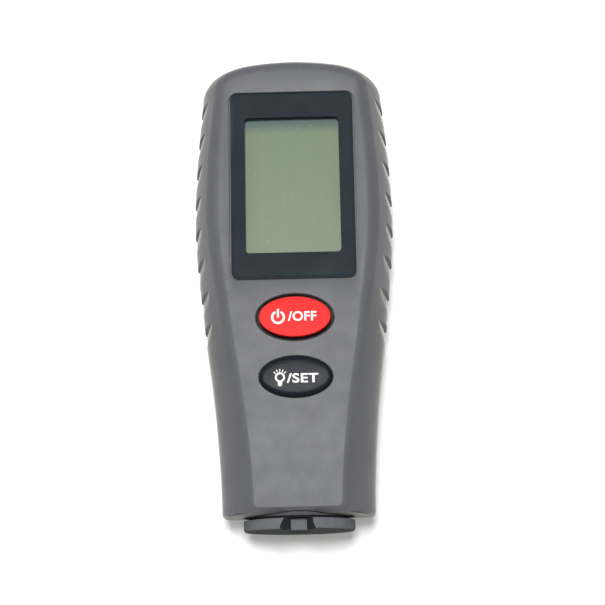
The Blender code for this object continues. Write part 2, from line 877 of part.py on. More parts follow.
def key(name, place, finish):
    """An oval key: a crowned cap, a flange that holds it under the panel, and a stem down to its plunger."""
    radius = key_width / 2
    top = case_thickness + key_rise
    shoulder = top - key_edge - key_crown
    profile = [(0.0, top), (radius / 2, top - key_crown_inner), (radius - key_edge, top - key_crown)]
    for step in (1, 2, 3):
        turn = step * math.pi / 6
        profile.append((radius - key_edge * (1 - math.sin(turn)), shoulder + key_edge * math.cos(turn)))
    flange_top = under_panel - gap
    stem_bottom = plunger_top + gap
    profile += [
        (radius, flange_top),
        (radius + key_flange, flange_top),
        (radius + key_flange, flange_top - key_flange_thickness),
        (plunger_radius, flange_top - key_flange_thickness),
        (plunger_radius, stem_bottom),
        (0.0, stem_bottom),
    ]
    turned(name, profile, (0.0, foot_y + place, 0.0), finish, squash=key_height / key_width, segments=40)


board_foot = unit_key_place - board_foot_from_key
switch_top = board_top + gap + switch_height
plunger_bottom = switch_top - switch_well + key_travel + plunger_play
plunger_top = under_panel - gap - key_flange_thickness - key_stem - gap


def switch(name, place):
    centre = (0.0, foot_y + place, 0.0)
    half = switch_size / 2
    low, high = (-half, centre[1] - half, board_top + gap), (half, centre[1] + half, switch_top)
    body = box(f"{name}_switch", low, high, black_plastic)
    well_floor = switch_top - switch_well
    cut(body, drum(f"{name}_well", plunger_radius + gap, well_floor, case_thickness, centre, segments=20))
    drum(f"{name}_plunger", plunger_radius, plunger_bottom, plunger_top, centre, white_plastic, segments=16)


def circuit_board():
    outline = bpy.data.curves.new("circuit_board", "CURVE")
    outline.dimensions = "2D"
    outline.fill_mode = "BOTH"
    outline.extrude = board_thickness / 2
    line = outline.splines.new("POLY")
    board_waist = foot_screw_place + boss_radius + gap
    board_shoulder = power_key_place + board_shoulder_from_key
    board_head = window_place + glass_length / 2 + board_head_past_glass
    right = [
        (board_foot_half, board_foot),
        (board_foot_half, board_waist - board_waist_slope),
        (board_waist_half, board_waist),
        (board_head_half, board_shoulder),
        (board_head_half, board_head),
    ]
    corners = [(x, foot_y + d) for x, d in right] + [(-x, foot_y + d) for x, d in reversed(right)]
    line.points.add(len(corners) - 1)
    for point, (x, y) in zip(line.points, corners):
        point.co = (x, y, 0.0, 1.0)
    line.use_cyclic_u = True
    flat = bpy.data.objects.new("board_outline", outline)
    tools.objects.link(flat)
    bpy.context.view_layer.update()
    mesh = bpy.data.meshes.new_from_object(flat.evaluated_get(bpy.context.evaluated_depsgraph_get()))
    bpy.data.objects.remove(flat)
    bm = bmesh.new()
    bm.from_mesh(mesh)
    bmesh.ops.remove_doubles(bm, verts=bm.verts, dist=gap / 100)
    bm.to_mesh(mesh)
    bm.free()
    mesh.materials.clear()
    board = placed("circuit_board", mesh, board_green)
    board.location.z = (board_top + board_bottom) / 2
    for side, sign in (("left", -1), ("right", 1)):
        place = (sign * board_screw_half, foot_y + board_screw_place, 0.0)
        cut(board, drum(f"board_hole_{side}", screw_hole_radius, 0.0, case_thickness, place, segments=16))
    half = chip_size / 2
    chip_top = board_bottom - gap
    low, high = (-half, window_y - half, chip_top - chip_thickness), (half, window_y + half, chip_top)
    box("main_chip", low, high, black_plastic)


def cell(side, sign, turned_round):
    """A cell that lies along Y; one lies the other way round from its neighbour."""
    stack_end = bay_length / 2 - contact_thickness - 2 * gap
    length = cell_length - cell_button_height
    tip = stack_end - gap
    profile = [
        (0.0, tip),
        (cell_button_radius, tip),
        (cell_button_radius, tip - cell_button_height),
        (cell_radius, tip - cell_button_height),
        (cell_radius, tip - cell_button_height - length),
        (0.0, tip - cell_button_height - length),
    ]
    x, z = sign * cell_spacing / 2, recess_depth + cell_radius
    obj = turned(f"battery_cell_{side}", profile, (x, bay_y, z), cell_skin, along="Y", segments=28)
    if turned_round:
        obj.rotation_euler = (math.pi / 2, 0.0, 0.0)
    spring_from = tip - cell_length - gap
    direction = -1 if turned_round else 1
    turns = np.linspace(0, 1, 9 * spring_turns + 1)
    angle = 2 * math.pi * spring_turns * turns
    radius = spring_tip_radius + (spring_base_radius - spring_tip_radius) * turns
    depth = spring_from - spring_wire - (spring_from + stack_end - 2 * spring_wire - gap) * turns
    points = [
        (x + r * math.cos(a), bay_y + direction * d, z + r * math.sin(a))
        for r, a, d in zip(radius, angle, depth)
    ]
    wire("negative_spring" if turned_round else "bridge_spring", points, spring_wire, nickel, resolution=1)


def contacts():
    z_low, z_high = recess_depth + gap, recess_depth + 2 * cell_radius - gap
    for name, sign in (("positive_contact", -1), ("negative_contact", 1)):
        x = sign * cell_spacing / 2
        far = bay_y + bay_length / 2 - gap
        near = far - contact_thickness
        plate = box(name, (x - contact_width / 2, near, z_low), (x + contact_width / 2, far, z_high), nickel)
        half = contact_tail_width / 2
        join(plate, box(f"{name}_tail", (x - half, near, z_high - wall), (x + half, far, board_bottom - gap)))
    across = cell_spacing / 2 + contact_width / 2
    near = bay_y - bay_length / 2 + gap
    box("bridge_contact", (-across, near, z_low), (across, near + contact_thickness, z_high), nickel)


def probe_sleeve():
    face = foot_y - foot_reach
    back = face + foot_thickness
    groove = guide_start + guide_thickness
    profile = [
        (sleeve_bore, sleeve_back),
        (sleeve_radius, sleeve_back),
        (sleeve_radius, groove + retainer_thickness + 2 * gap),
        (sleeve_radius - retainer_groove, groove + retainer_thickness + 2 * gap),
        (sleeve_radius - retainer_groove, groove),
        (sleeve_radius, groove),
        (sleeve_radius, neck_back),
        (neck_radius, neck_back),
        (neck_radius, back),
        (foot_radius - foot_round / 2, back),
        (foot_radius, back - foot_round / 2),
        (foot_radius, face + foot_round),
        (foot_radius - foot_round, face),
        (tip_hole_radius, face),
        (tip_hole_radius, face + sleeve_floor),
        (sleeve_bore, face + sleeve_floor),
    ]
    centre = (0.0, 0.0, mid_z)
    sleeve = turned("probe_sleeve", profile, centre, probe_plastic, along="Y", ring=True, segments=64)
    bm = bmesh.new()
    bmesh.ops.create_cube(bm, size=1.0)
    floor = mid_z + foot_radius - notch_depth
    for vert in bm.verts:
        outer, high = vert.co.y < 0, vert.co.z > 0
        half = notch_half_outer if outer else notch_half_inner
        if high:
            half += (half - notch_floor_half) * wall / notch_depth
        vert.co.x = math.copysign(half if high else notch_floor_half, vert.co.x)
        vert.co.y = face - gap if outer else face + notch_length
        vert.co.z = floor + notch_depth + wall if high else floor
    cut(sleeve, placed("foot_notch", mesh_of(bm, "foot_notch"), None))


def probe_fittings():
    """The retaining ring on the sleeve, the spring, the guide and the sensor holder."""
    back = guide_start + guide_thickness + gap
    inner = sleeve_radius - retainer_groove + gap
    outer = sleeve_radius + retainer_reach
    end = back + retainer_thickness
    ring = [(inner, end), (outer, end), (outer, back), (inner, back)]
    centre = (0.0, 0.0, mid_z)
    turned("retaining_ring", ring, centre, spring_steel, along="Y", ring=True, segments=36)

    start, end = neck_back + gap + probe_wire, guide_start - gap - probe_wire
    share = np.linspace(0, 1, 14 * probe_turns + 1)
    angle = 2 * math.pi * probe_turns * share
    radius = sleeve_radius + gap + probe_wire
    along = start + (end - start) * share
    points = [(radius * math.cos(a), y, mid_z + radius * math.sin(a)) for a, y in zip(angle, along)]
    wire("probe_spring", points, probe_wire, spring_steel, resolution=1)

    for name, low, thickness, bore in (
        ("probe_guide", guide_start, guide_thickness, sleeve_radius + gap),
        ("probe_holder", holder_start, holder_thickness, core_radius + gap),
    ):
        plate = drum(name, guide_radius, low, low + thickness, centre, black_plastic, along="Y", segments=40)
        ears = box(
            f"{name}_ears",
            (-guide_ear_reach, low, mid_z - guide_ear_half_height),
            (guide_ear_reach, low + thickness, mid_z + guide_ear_half_height),
        )
        join(plate, ears)
        past = low + thickness + wall
        cut(plate, drum(f"{name}_bore", bore, low - wall, past, centre, along="Y", segments=40))


def sensor():
    """Bobbin, winding and core, carried by the holder, the core's round tip just inside the foot's face."""
    face = foot_y - foot_reach
    front = face + sleeve_floor + probe_travel + gap
    back = holder_start - gap
    bore = core_radius + gap
    flange, barrel = sleeve_bore - bobbin_play, bore + bobbin_barrel
    bobbin = [
        (bore, back),
        (flange, back),
        (flange, back - bobbin_flange),
        (barrel, back - bobbin_flange),
        (barrel, front + bobbin_flange),
        (flange, front + bobbin_flange),
        (flange, front),
        (bore, front),
    ]
    place = (0.0, 0.0, mid_z)
    turned("probe_bobbin", bobbin, place, black_plastic, along="Y", ring=True, segments=24)
    low, high = front + bobbin_flange + gap, back - bobbin_flange - gap
    inner, outer = barrel + gap, flange - coil_inset
    coil = [(inner, high), (outer, high), (outer, low), (inner, low)]
    turned("probe_coil", coil, place, copper, along="Y", ring=True, segments=24)
    tip = face + probe_travel
    rod_end = holder_start + holder_thickness
    core = [(0.0, rod_end), (core_radius, rod_end), (core_radius, tip + core_radius)]
    for step in (1, 2, 3):
        turn = step * math.pi / 6
        core.append((core_radius * math.cos(turn), tip + core_radius * (1 - math.sin(turn))))
    turned("probe_core", core, place, nickel, along="Y", segments=16)
    for side, sign in (("left", -1), ("right", 1)):
        x = sign * lead_spacing / 2 + sign * (core_radius + gap)
        start_y = rod_end + gap + lead_radius
        end_y = foot_y + board_foot + lead_overlap
        rise = board_bottom - gap - lead_radius - mid_z
        share = np.linspace(0, 1, 9)
        ease = share**2 * (3 - 2 * share)
        points = [(x, start_y + (end_y - start_y) * s, mid_z + rise * e) for s, e in zip(share, ease)]
        wire(f"probe_lead_{side}", points, lead_radius, lead_skin)


def screws():
    for name, x, y in at_screws():
        seat = boss_seat - gap
        profile = [
            (0.0, seat + screw_length - gap),
            (screw_radius, seat + screw_length - gap - screw_radius),
            (screw_radius, seat),
            (screw_head_radius, seat),
            (screw_head_radius, seat - screw_head_height + screw_head_bevel),
            (screw_head_radius - screw_head_bevel, seat - screw_head_height),
            (0.0, seat - screw_head_height),
        ]
        turned(f"case_screw_{name}", profile, (x, y, 0.0), screw_steel, segments=16)
    for side, sign in (("left", -1), ("right", 1)):
        seat = board_bottom - gap
        profile = [
            (0.0, seat + board_screw_length - gap),
            (screw_radius, seat + board_screw_length - gap - screw_radius),
            (screw_radius, seat),
            (screw_head_radius, seat),
            (screw_head_radius, seat - screw_head_height),
            (0.0, seat - screw_head_height),
        ]
        place = (sign * board_screw_half, foot_y + board_screw_place, 0.0)
        turned(f"board_screw_{side}", profile, place, screw_steel, segments=16)


front_case()
rear_case()
battery_door()
display()
key("power_button", power_key_place, red_plastic)
key("unit_button", unit_key_place, dark_plastic)
switch("power", power_key_place)
switch("unit", unit_key_place)
circuit_board()
cell("left", -1, False)
cell("right", 1, True)
contacts()
probe_sleeve()
probe_fittings()
sensor()
screws()
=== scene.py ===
# %% [markdown]
# # A pocket coating thickness gauge
# The real gauge is a two-part moulded case held in one hand. It has a clear window over a small display, two
# oval keys, a row of grip scallops down each side and a sprung foot that is pressed onto the coating.
# Its solids come packed in one shared frame, in metres: X runs across the gauge, Y from the foot towards the
# display end and Z out of the face. A dressed piece could be modelled anywhere and moved into place, but here
# every surface is worked out straight in that frame, so it can't end up beside the solid that it stands for.

import json
import math

import bmesh
import bpy
import numpy as np
from mathutils import Matrix, Quaternion, Vector
from mathutils.geometry import delaunay_2d_cdt

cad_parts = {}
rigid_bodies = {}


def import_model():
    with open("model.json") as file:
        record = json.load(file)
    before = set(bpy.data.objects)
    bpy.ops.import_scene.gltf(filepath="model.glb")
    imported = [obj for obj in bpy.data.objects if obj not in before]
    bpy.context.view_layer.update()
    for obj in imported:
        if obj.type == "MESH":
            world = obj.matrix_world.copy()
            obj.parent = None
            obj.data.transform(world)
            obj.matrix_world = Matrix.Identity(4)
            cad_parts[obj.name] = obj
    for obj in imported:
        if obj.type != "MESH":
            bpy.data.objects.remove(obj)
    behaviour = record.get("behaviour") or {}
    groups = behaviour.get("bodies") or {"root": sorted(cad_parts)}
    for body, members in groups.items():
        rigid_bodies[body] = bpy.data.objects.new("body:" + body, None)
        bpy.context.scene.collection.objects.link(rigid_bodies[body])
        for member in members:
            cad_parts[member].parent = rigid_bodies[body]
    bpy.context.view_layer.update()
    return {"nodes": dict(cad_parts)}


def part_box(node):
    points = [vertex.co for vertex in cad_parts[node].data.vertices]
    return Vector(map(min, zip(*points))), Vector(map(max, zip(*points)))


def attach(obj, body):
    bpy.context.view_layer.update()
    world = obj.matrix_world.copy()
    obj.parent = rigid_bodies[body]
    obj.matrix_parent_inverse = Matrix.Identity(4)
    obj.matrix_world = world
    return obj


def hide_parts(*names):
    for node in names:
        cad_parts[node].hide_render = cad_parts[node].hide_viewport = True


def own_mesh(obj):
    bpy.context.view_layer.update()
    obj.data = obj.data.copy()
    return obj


for left_over in list(bpy.data.objects):
    bpy.data.objects.remove(left_over, do_unlink=True)
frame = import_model()
mm = 0.001


def placed(name, data):
    """A new object of the scene that holds the data."""
    made = bpy.data.objects.new(name, data)
    bpy.context.scene.collection.objects.link(made)
    return made


def worked_out(held, *helpers):
    """The mesh that an object's text or modifiers give, after which it and its helpers are removed."""
    bpy.context.view_layer.update()
    mesh = bpy.data.meshes.new_from_object(held.evaluated_get(bpy.context.evaluated_depsgraph_get()))
    for used in (held, *helpers):
        bpy.data.objects.remove(used, do_unlink=True)
    return mesh


# %% [markdown]
# ## Where things are
# The case's ends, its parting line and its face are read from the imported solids, so the dressed pieces follow
# them. The seam between the two mouldings is a fine line on the real gauge, so it is narrower here than the
# clearance that the solids keep.


# %% Places read from the frame
def span(node):
    """Lowest and highest corner of a solid, as two arrays."""
    return tuple(np.array(corner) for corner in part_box(node))


front_low, front_high = span("front_case")
rear_low, rear_high = span("rear_case")
foot_y, head_y, face_z = front_low[1], front_high[1], front_high[2]
case_length = head_y - foot_y
parting_z = front_low[2] - 0.15 * mm
seam = 0.16 * mm
wall = 1.8 * mm
print("case length %.2f mm, parting line at %.2f mm" % (case_length / mm, parting_z / mm))

# %% [markdown]
# ## The camera
# The photograph looks down on the gauge from about 0.31 m, tilted a little towards the foot. The distance and
# the lens were fitted to the window, the keys and the outline, so the camera is placed by those values and
# not by eye. It is turned about its own axis last, because the gauge leans slightly in the picture.

# %% Camera
image_width = 605
photo_focus_px = 1420.0
photo_distance = 308.9 * mm
photo_tilt = math.radians(12.4)
photo_roll = math.radians(-1.25)
photo_side = 5.0 * mm
aim = Vector((0.0, -4.55 * mm, 24.0 * mm))
aim_right_px, aim_up_px = -7.8, 0.95

lens = bpy.data.cameras.new("photo_camera")
lens.sensor_width = 36.0
lens.lens = lens.sensor_width * photo_focus_px / image_width
lens.clip_start, lens.clip_end = 0.01, 20.0
camera = placed("photo_camera", lens)
towards_camera = Vector((0.0, -math.sin(photo_tilt), math.cos(photo_tilt)))
across_view = Vector((1.0, 0.0, 0.0))
camera.location = aim + photo_distance * towards_camera + photo_side * across_view
per_px = photo_distance / photo_focus_px
up_in_view = towards_camera.cross(across_view)
looked_at = aim - aim_right_px * per_px * across_view - aim_up_px * per_px * up_in_view
backward = (camera.location - looked_at).normalized()
upward = backward.cross(across_view).normalized()
level_view = Matrix((upward.cross(backward), upward, backward)).transposed().to_quaternion()
camera.rotation_mode = "QUATERNION"
camera.rotation_quaternion = level_view @ Quaternion((0.0, 0.0, 1.0), photo_roll)
bpy.context.scene.camera = camera
print("lens %.1f mm" % lens.lens)

# %% [markdown]
# ## Shader arithmetic
# A finish on the real gauge is never one flat colour: the case has a fine spark-eroded grain, the keys are
# smoother, metal is drawn or plated. Nodes can be wired one call at a time, which hides the sum that they
# make. A small class that wraps a socket keeps the sum readable: adding or multiplying two wrapped sockets
# adds the Math node for it, and one method makes every other node from its type, its settings and its inputs.


# %% The socket class
class Tone:
    """A socket of a material's nodes that takes plain arithmetic."""

    def __init__(self, tree, socket):
        self.tree, self.socket = tree, socket

    def node(self, kind, inputs=None, output=0, **settings):
        """Any node: its settings first, then its inputs by name or number, as values or wrapped sockets."""
        made = self.tree.nodes.new(kind)
        for name, value in settings.items():
            setattr(made, name, value)
        for key, value in (inputs or {}).items():
            if isinstance(value, Tone):
                self.tree.links.new(value.socket, made.inputs[key])
            else:
                made.inputs[key].default_value = value
        return Tone(self.tree, made.outputs[output])

    def sum(self, operation, *others):
        """One Math node, of this and the others."""
        return self.node("ShaderNodeMath", dict(enumerate((self, *others))), operation=operation)

    def __add__(self, other):
        return self.sum("ADD", other)

    def __sub__(self, other):
        return self.sum("SUBTRACT", other)

    def __rsub__(self, other):
        return self.node("ShaderNodeMath", {0: other, 1: self}, operation="SUBTRACT")

    def __mul__(self, other):
        return self.sum("MULTIPLY", other)

    def __pow__(self, other):
        return self.sum("POWER", other)

    __radd__, __rmul__ = __add__, __mul__

    def above(self, low, high):
        """0 below low, 1 above high and a smooth rise between them; with high below low it falls instead."""
        limits = {"Value": self, "From Min": low, "From Max": high}
        return self.node("ShaderNodeMapRange", limits, interpolation_type="SMOOTHSTEP")

    def mix(self, none, full):
        """The colour none where this is 0 and full where it is 1."""
        return self.node("ShaderNodeMix", {0: self, 6: none, 7: full}, output=2, data_type="RGBA")

    def axis(self, number):
        """One of the three coordinates of a wrapped vector."""
        return self.node("ShaderNodeSeparateXYZ", {0: self}, number)

    def noise(self, size, detail=2.0, shift=0.0):
        """Soft noise from 0 to 1 whose blotches are about size across, on a wrapped vector."""
        place = self.node("ShaderNodeVectorMath", {0: self, 1: (shift, shift, shift)}, operation="ADD")
        return self.node("ShaderNodeTexNoise", {"Vector": place, "Scale": 1 / size, "Detail": detail})


def rgba(colour):
    """A colour given as 0 to 255 in the picture, as the light values that a shader takes."""
    share = np.array(colour) / 255
    light = np.where(share <= 0.04045, share / 12.92, ((share + 0.055) / 1.055) ** 2.4)
    return (*light.tolist(), 1.0)


def new_finish(name, roughness, metallic=0.0, **constants):
    """A material with a Principled shader, its object coordinates wrapped, and the shader's inputs."""
    made = bpy.data.materials.new(name)
    made.use_nodes = True
    tree = made.node_tree
    shader = tree.nodes["Principled BSDF"]
    shader.inputs["Roughness"].default_value = roughness
    shader.inputs["Metallic"].default_value = metallic
    for key, value in constants.items():
        shader.inputs[key.replace("_", " ")].default_value = value
    coordinates = tree.nodes.new("ShaderNodeTexCoord")
    return made, Tone(tree, coordinates.outputs["Object"]), shader


def feed(shader, key, tone):
    tone.tree.links.new(tone.socket, shader.inputs[key])


def bump(place, shader, height, depth):
    """Feeds a height from 0 to 1, depth metres deep, to the shader's normal."""
    inputs = {"Height": height, "Distance": depth, "Strength": 1.0}
    feed(shader, "Normal", place.node("ShaderNodeBump", inputs))


print("socket class ready")

# %% [markdown]
# ## Moulded plastics
# A moulding takes the grain of its mould: a case has a fine even sparkle some tenths of a millimetre across,
# a key is nearly smooth. Handling leaves the grain a little shinier in blotches. An image of the grain would
# do, but it has to be laid on and repeats, so here noise of the right size makes both the relief and the
# small changes of colour, and it works on any piece.


# %% Moulded plastic
def moulded(name, colour, roughness, grain=0.25, depth=0.006, mottle=0.05, rubber=None, **constants):
    """Plastic: fine relief, a slight mottle in the colour and rubbed blotches in the roughness.

    The grain's size and depth are in millimetres. The argument after mottle gives an axis and two places on it,
    between which the colour is a near-black painted shade.
    """
    made, place, shader = new_finish(name, roughness, **constants)
    fine = place.noise(grain * mm, 2.0)
    broad = place.noise(9 * mm, 3.0, 0.37)
    speck = place.noise(0.55 * mm, 1.0, 0.11)
    shades = [[min(1.0, v * (1 + 2 * sign * mottle)) for v in rgba(colour)[:3]] for sign in (-1, 1)]
    tone = (0.5 * broad + 0.5 * speck).above(0.3, 0.7).mix((*shades[0], 1.0), (*shades[1], 1.0))
    if rubber:
        axis, low, high = rubber
        blend = 0.05 * mm
        along = place.axis(axis)
        between = along.above(low - blend, low) * along.above(high + blend, high)
        # painted shade: the near-black colour between the two places stands in for shade in a gap or groove
        tone = between.mix(tone, rgba((42, 38, 41)))
    feed(shader, "Base Color", tone)
    feed(shader, "Roughness", roughness + 0.16 * (place.noise(5 * mm, 3.0, 0.71) - 0.5))
    bump(place, shader, fine, depth * mm)
    return made


case_look = {"depth": 0.008, "mottle": 0.03, "Specular_IOR_Level": 0.35}
case_look |= {"Sheen_Weight": 0.42, "Sheen_Roughness": 0.25, "Sheen_Tint": (1.0, 0.98, 0.85, 1.0)}
case_finish = moulded("case_plastic", (98, 99, 103), 0.5, **case_look)
door_finish = moulded("door_plastic", (97, 98, 102), 0.5, **case_look)
# painted shade: the red key below the face is coloured near-black for the shade in the gap round it
skirt_painted_shade = (2, 0.0, face_z - 0.6 * mm)
key_look = {"grain": 0.4, "depth": 0.003}
red_finish = moulded(
    "red_plastic", (240, 50, 48), 0.5, mottle=0.02, rubber=skirt_painted_shade, Specular_IOR_Level=0.1, **key_look
)
dark_finish = moulded("dark_plastic", (28, 32, 39), 0.4, mottle=0.03, Specular_IOR_Level=0.11, **key_look)
disc_thickness, ring_width = 2.4 * mm, 0.5 * mm
disc_back = span("probe_sleeve")[0][1] + disc_thickness
ring_back = disc_back + ring_width
foot_look = {"grain": 0.3, "depth": 0.004, "mottle": 0.04, "Specular_IOR_Level": 0.0}
# painted shade: the ring between the disc's back and the neck is coloured near-black for the shade in the
# groove there
probe_finish = moulded("probe_plastic", (111, 114, 118), 0.5, rubber=(1, disc_back, ring_back), **foot_look)
# painted shade: the foot's front face and neck get this darker colour for the shade they lie in
foot_shade_finish = moulded("foot_painted_shade", (88, 90, 92), 0.6, **foot_look)
# painted shade: the notch's side walls get this dark colour for the shade inside the notch
notch_shade_finish = moulded("foot_notch", (52, 55, 63), 0.6, **foot_look)
white_finish = moulded("white_plastic", (230, 230, 226), 0.45, 0.4, 0.003, 0.02)
black_finish = moulded("black_plastic", (32, 33, 35), 0.5, 0.3, 0.004, 0.06)
symbol_finish = moulded("symbol_ink", (248, 246, 244), 0.45, 0.3, 0.002, 0.02)
rubber_finish = moulded("rubber", (150, 128, 136), 0.75, 0.5, 0.01)
print("plastics:", len(bpy.data.materials))

# %% [markdown]
# ## Joining surfaces into one closed skin
# A moulding is one closed surface: sides, shoulder, face, pocket walls and an inner wall. It could be carved
# with Booleans, but their cuts leave slivers that catch the light. Here each stretch is a stack of loops or a
# level patch between loops, and the stretches share their border points, so one merge closes the whole skin.


# %% Skin
def level(loop, z):
    """A flat loop of (x, y) at the height z."""
    return np.column_stack([np.asarray(loop)[:, :2], np.full(len(loop), z)])


def on_circle(turn):
    """The points of a circle of radius 1 at those angles."""
    return np.column_stack([np.cos(turn), np.sin(turn)])


def whole_turn(count):
    """Angles once round, evenly spaced."""
    return np.linspace(0, 2 * math.pi, count, endpoint=False)


def inside(points, loop):
    """Which points a loop encloses: from those, a line to the right crosses it an odd number of times."""
    x, y = points[:, :1], points[:, 1:]
    (x0, y0), (x1, y1) = loop.T, np.roll(loop, -1, axis=0).T
    crosses = (y0 > y) != (y1 > y)
    rise = np.where(y1 == y0, 1.0, y1 - y0)
    return (crosses & (x < x0 + (y - y0) / rise * (x1 - x0))).sum(axis=1) % 2 == 1


class Skin:
    """Collects stacks of loops and level patches, then makes one closed piece of them."""

    def __init__(self):
        self.points, self.faces, self.count = [], [], 0

    def add(self, points, faces):
        self.points.append(np.asarray(points, float))
        self.faces += [tuple(int(i) + self.count for i in face) for face in faces]
        self.count += len(points)

    def stack(self, loops):
        """Quads between neighbouring closed loops, all with the same number of points."""
        loops = np.asarray(loops, float)
        levels, size = loops.shape[:2]
        low = (np.arange(levels - 1)[:, None] * size + np.arange(size)).ravel()
        low_next = (np.arange(levels - 1)[:, None] * size + (np.arange(size) + 1) % size).ravel()
        self.add(loops.reshape(-1, 3), np.column_stack([low, low_next, low_next + size, low + size]))

    def patch(self, outer, *holes):
        """A level patch between an outer loop and its holes' loops, in triangles that keep every border."""
        loops = [np.asarray(loop, float) for loop in (outer, *holes)]
        edges, start = [], 0
        for loop in loops:
            here = np.arange(len(loop))
            edges += (np.column_stack([here, (here + 1) % len(loop)]) + start).tolist()
            start += len(loop)
        flat = [Vector(place) for place in (np.concatenate(loops)[:, :2] / mm).tolist()]
        found, _, faces, *_ = delaunay_2d_cdt(flat, edges, [], 1, 1e-6)
        points, faces = np.array([(x, y) for x, y in found]) * mm, np.array(faces)
        middles = points[faces].mean(axis=1)
        kept = ~np.any([inside(middles, hole[:, :2]) for hole in loops[1:]], axis=0) if holes else slice(None)
        self.add(level(points, loops[0][0, 2]), faces[kept])

    def fan(self, loop, middle):
        """Closes a loop with triangles to a middle point."""
        size = len(loop)
        here = np.arange(size)
        faces = np.column_stack([here, (here + 1) % size, np.full(size, size)])
        self.add(np.vstack([loop, middle]), faces)

    def mesh(self, name, finish=None, sharp=30.0):
        """The merged mesh, its faces turned outwards, smooth except at edges sharper than the given angle."""
        bm = bmesh.new()
        verts = [bm.verts.new(p) for p in np.concatenate(self.points)]
        for face in self.faces:
            bm.faces.new([verts[i] for i in face])
        bmesh.ops.remove_doubles(bm, verts=bm.verts, dist=1e-7)
        bmesh.ops.dissolve_degenerate(bm, edges=bm.edges, dist=1e-8)
        mesh = bpy.data.meshes.new(name)
        settle(bm, mesh, finish)
        mesh.shade_smooth()
        mesh.set_sharp_from_angle(angle=math.radians(sharp))
        return mesh


def settle(bm, mesh, finish):
    """Turns the faces outwards, writes them to the mesh with its finish and says how many edges stay open."""
    bmesh.ops.recalc_face_normals(bm, faces=bm.faces)
    open_edges = sum(1 for edge in bm.edges if not edge.is_manifold)
    bm.to_mesh(mesh)
    bm.free()
    mesh.materials.clear()
    if finish:
        mesh.materials.append(finish)
    print(f"{mesh.name}: {len(mesh.polygons)} faces, {open_edges} open edges")


def plate(name, finish, loops, sharp=30.0):
    """A closed piece from a stack of loops, whose two ends are closed by level patches."""
    skin = Skin()
    skin.stack(loops)
    skin.patch(loops[0])
    skin.patch(loops[-1])
    return skin.mesh(name, finish, sharp)


def dressed(name, mesh, body, slot, *stands_for):
    """A piece of that mesh, which rides a body and stands for the solids that it replaces, which are hidden;
    slot is not used.
    """
    piece = placed(name, mesh)
    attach(piece, body)
    if stands_for:
        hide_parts(*stands_for)
    return piece


# %% [markdown]
# ## The outline of the case
# Seen from above, the case is narrow at the foot, widest at the middle of the window and a little narrower at
# the display end, whose edge is a shallow arch. The outline is one smooth curve through five half widths. A
# polygon traced by hand would do for one height, but the same rule has to give every height of the shoulder.


# %% Outline
half_places = (0.0, 0.21, 0.40, 0.635, 0.92)
half_widths = np.array((16.8, 18.0, 20.35, 22.45, 20.6)) * mm
head_arch_radius, head_corner, foot_corner = 62.0 * mm, 8.5 * mm, 1.2 * mm


def through(places, values, at):
    """A cubic through the (place, value) points, level at the first, its slopes taken from the neighbours."""
    places, values, at = (np.asarray(a, float) for a in (places, values, at))
    secants = np.diff(values) / np.diff(places)
    inner = (values[2:] - values[:-2]) / (places[2:] - places[:-2])
    slopes = np.concatenate([[0.0], inner, 1.5 * secants[-1:]])
    k = np.clip(np.searchsorted(places, at) - 1, 0, len(places) - 2)
    width = places[k + 1] - places[k]
    t = (at - places[k]) / width
    from_value = (2 * t**3 - 3 * t**2 + 1) * values[k] + (3 * t**2 - 2 * t**3) * values[k + 1]
    return from_value + ((t**3 - 2 * t**2 + t) * slopes[k] + (t**3 - t**2) * slopes[k + 1]) * width


def half_width(y):
    """Half width of the case at the parting line."""
    return through(half_places, half_widths, (y - foot_y) / case_length)


print("widest %.2f mm" % (2 * half_width(np.linspace(foot_y, head_y, 200)).max() / mm))

# %% [markdown]
# ## The grip scallops
# Eight shallow scoops run down each side, each with a sharp step on its display side and a long ramp towards
# the foot. They are deepest a little above the parting line and run out to a crescent tip on the shoulder,
# because the mould draws straight up. Cutting them with cylinders leaves a ragged edge, so the rows of points
# are laid along each step instead: the rows lean with the step, and a depth is taken off the width.

# %% Scallops
grip_count, grip_pitch, grip_head = 8, 7.32 * mm, 11.9 * mm
grip_ramp, grip_lip = 3.9 * mm, 0.22 * mm
grip_depth_head, grip_depth_foot = 0.55 * mm, 0.85 * mm
grip_middle, grip_tip = 3.4 * mm, 7.6 * mm
grip_rise = 1.4 * mm
first_step = head_y - grip_head - (grip_count - 1) * grip_pitch
ramp_rows = np.array([1.0, 0.88, 0.76, 0.64, 0.52, 0.41, 0.31, 0.22, 0.14, 0.07, 0.02]) * grip_ramp
between_rows = np.array([0.12, 0.4, 0.75]) * (grip_pitch - grip_ramp)


def grip_rows(first_row, last_row):
    """Y of the rows along a side, which scoop each row belongs to, and its share of that scoop's depth."""
    plain = np.linspace(first_row, first_step - grip_ramp, 36)[:-1]
    rows, shares, scoops = [plain], [np.zeros(len(plain))], [np.zeros(len(plain), int)]
    ramp = (1 - ramp_rows / grip_ramp) ** 1.25
    for number in range(grip_count):
        step = first_step + number * grip_pitch
        low, high = step - grip_lip / 2, step + grip_lip / 2
        after = between_rows if number < grip_count - 1 else between_rows[:2]
        rows += [low - ramp_rows, [low + 0.01 * mm, high], step + after]
        shares += [ramp, [0.97, 0.0], np.zeros(len(after))]
        scoops += [np.full(len(ramp_rows) + 2 + len(after), number)]
    rows.append(np.linspace(rows[-1][-1], last_row, 5)[1:])
    shares.append(np.zeros(4))
    scoops.append(np.full(4, grip_count - 1))
    return np.concatenate(rows), np.concatenate(scoops), np.concatenate(shares)


def grip_size(height):
    """A scoop's size at a height, as a share: full at its middle height, with a rounded fall to its tip."""
    return np.clip(1 - ((height - grip_middle) / (grip_tip - grip_middle)) ** 2, 0.0, 1.0) ** 0.75


def grip_dent(scoop, share, height):
    """Depth of the scoops at a height."""
    along = scoop / (grip_count - 1)
    deepest = grip_depth_foot + (grip_depth_head - grip_depth_foot) * along
    return deepest * share * grip_size(height)


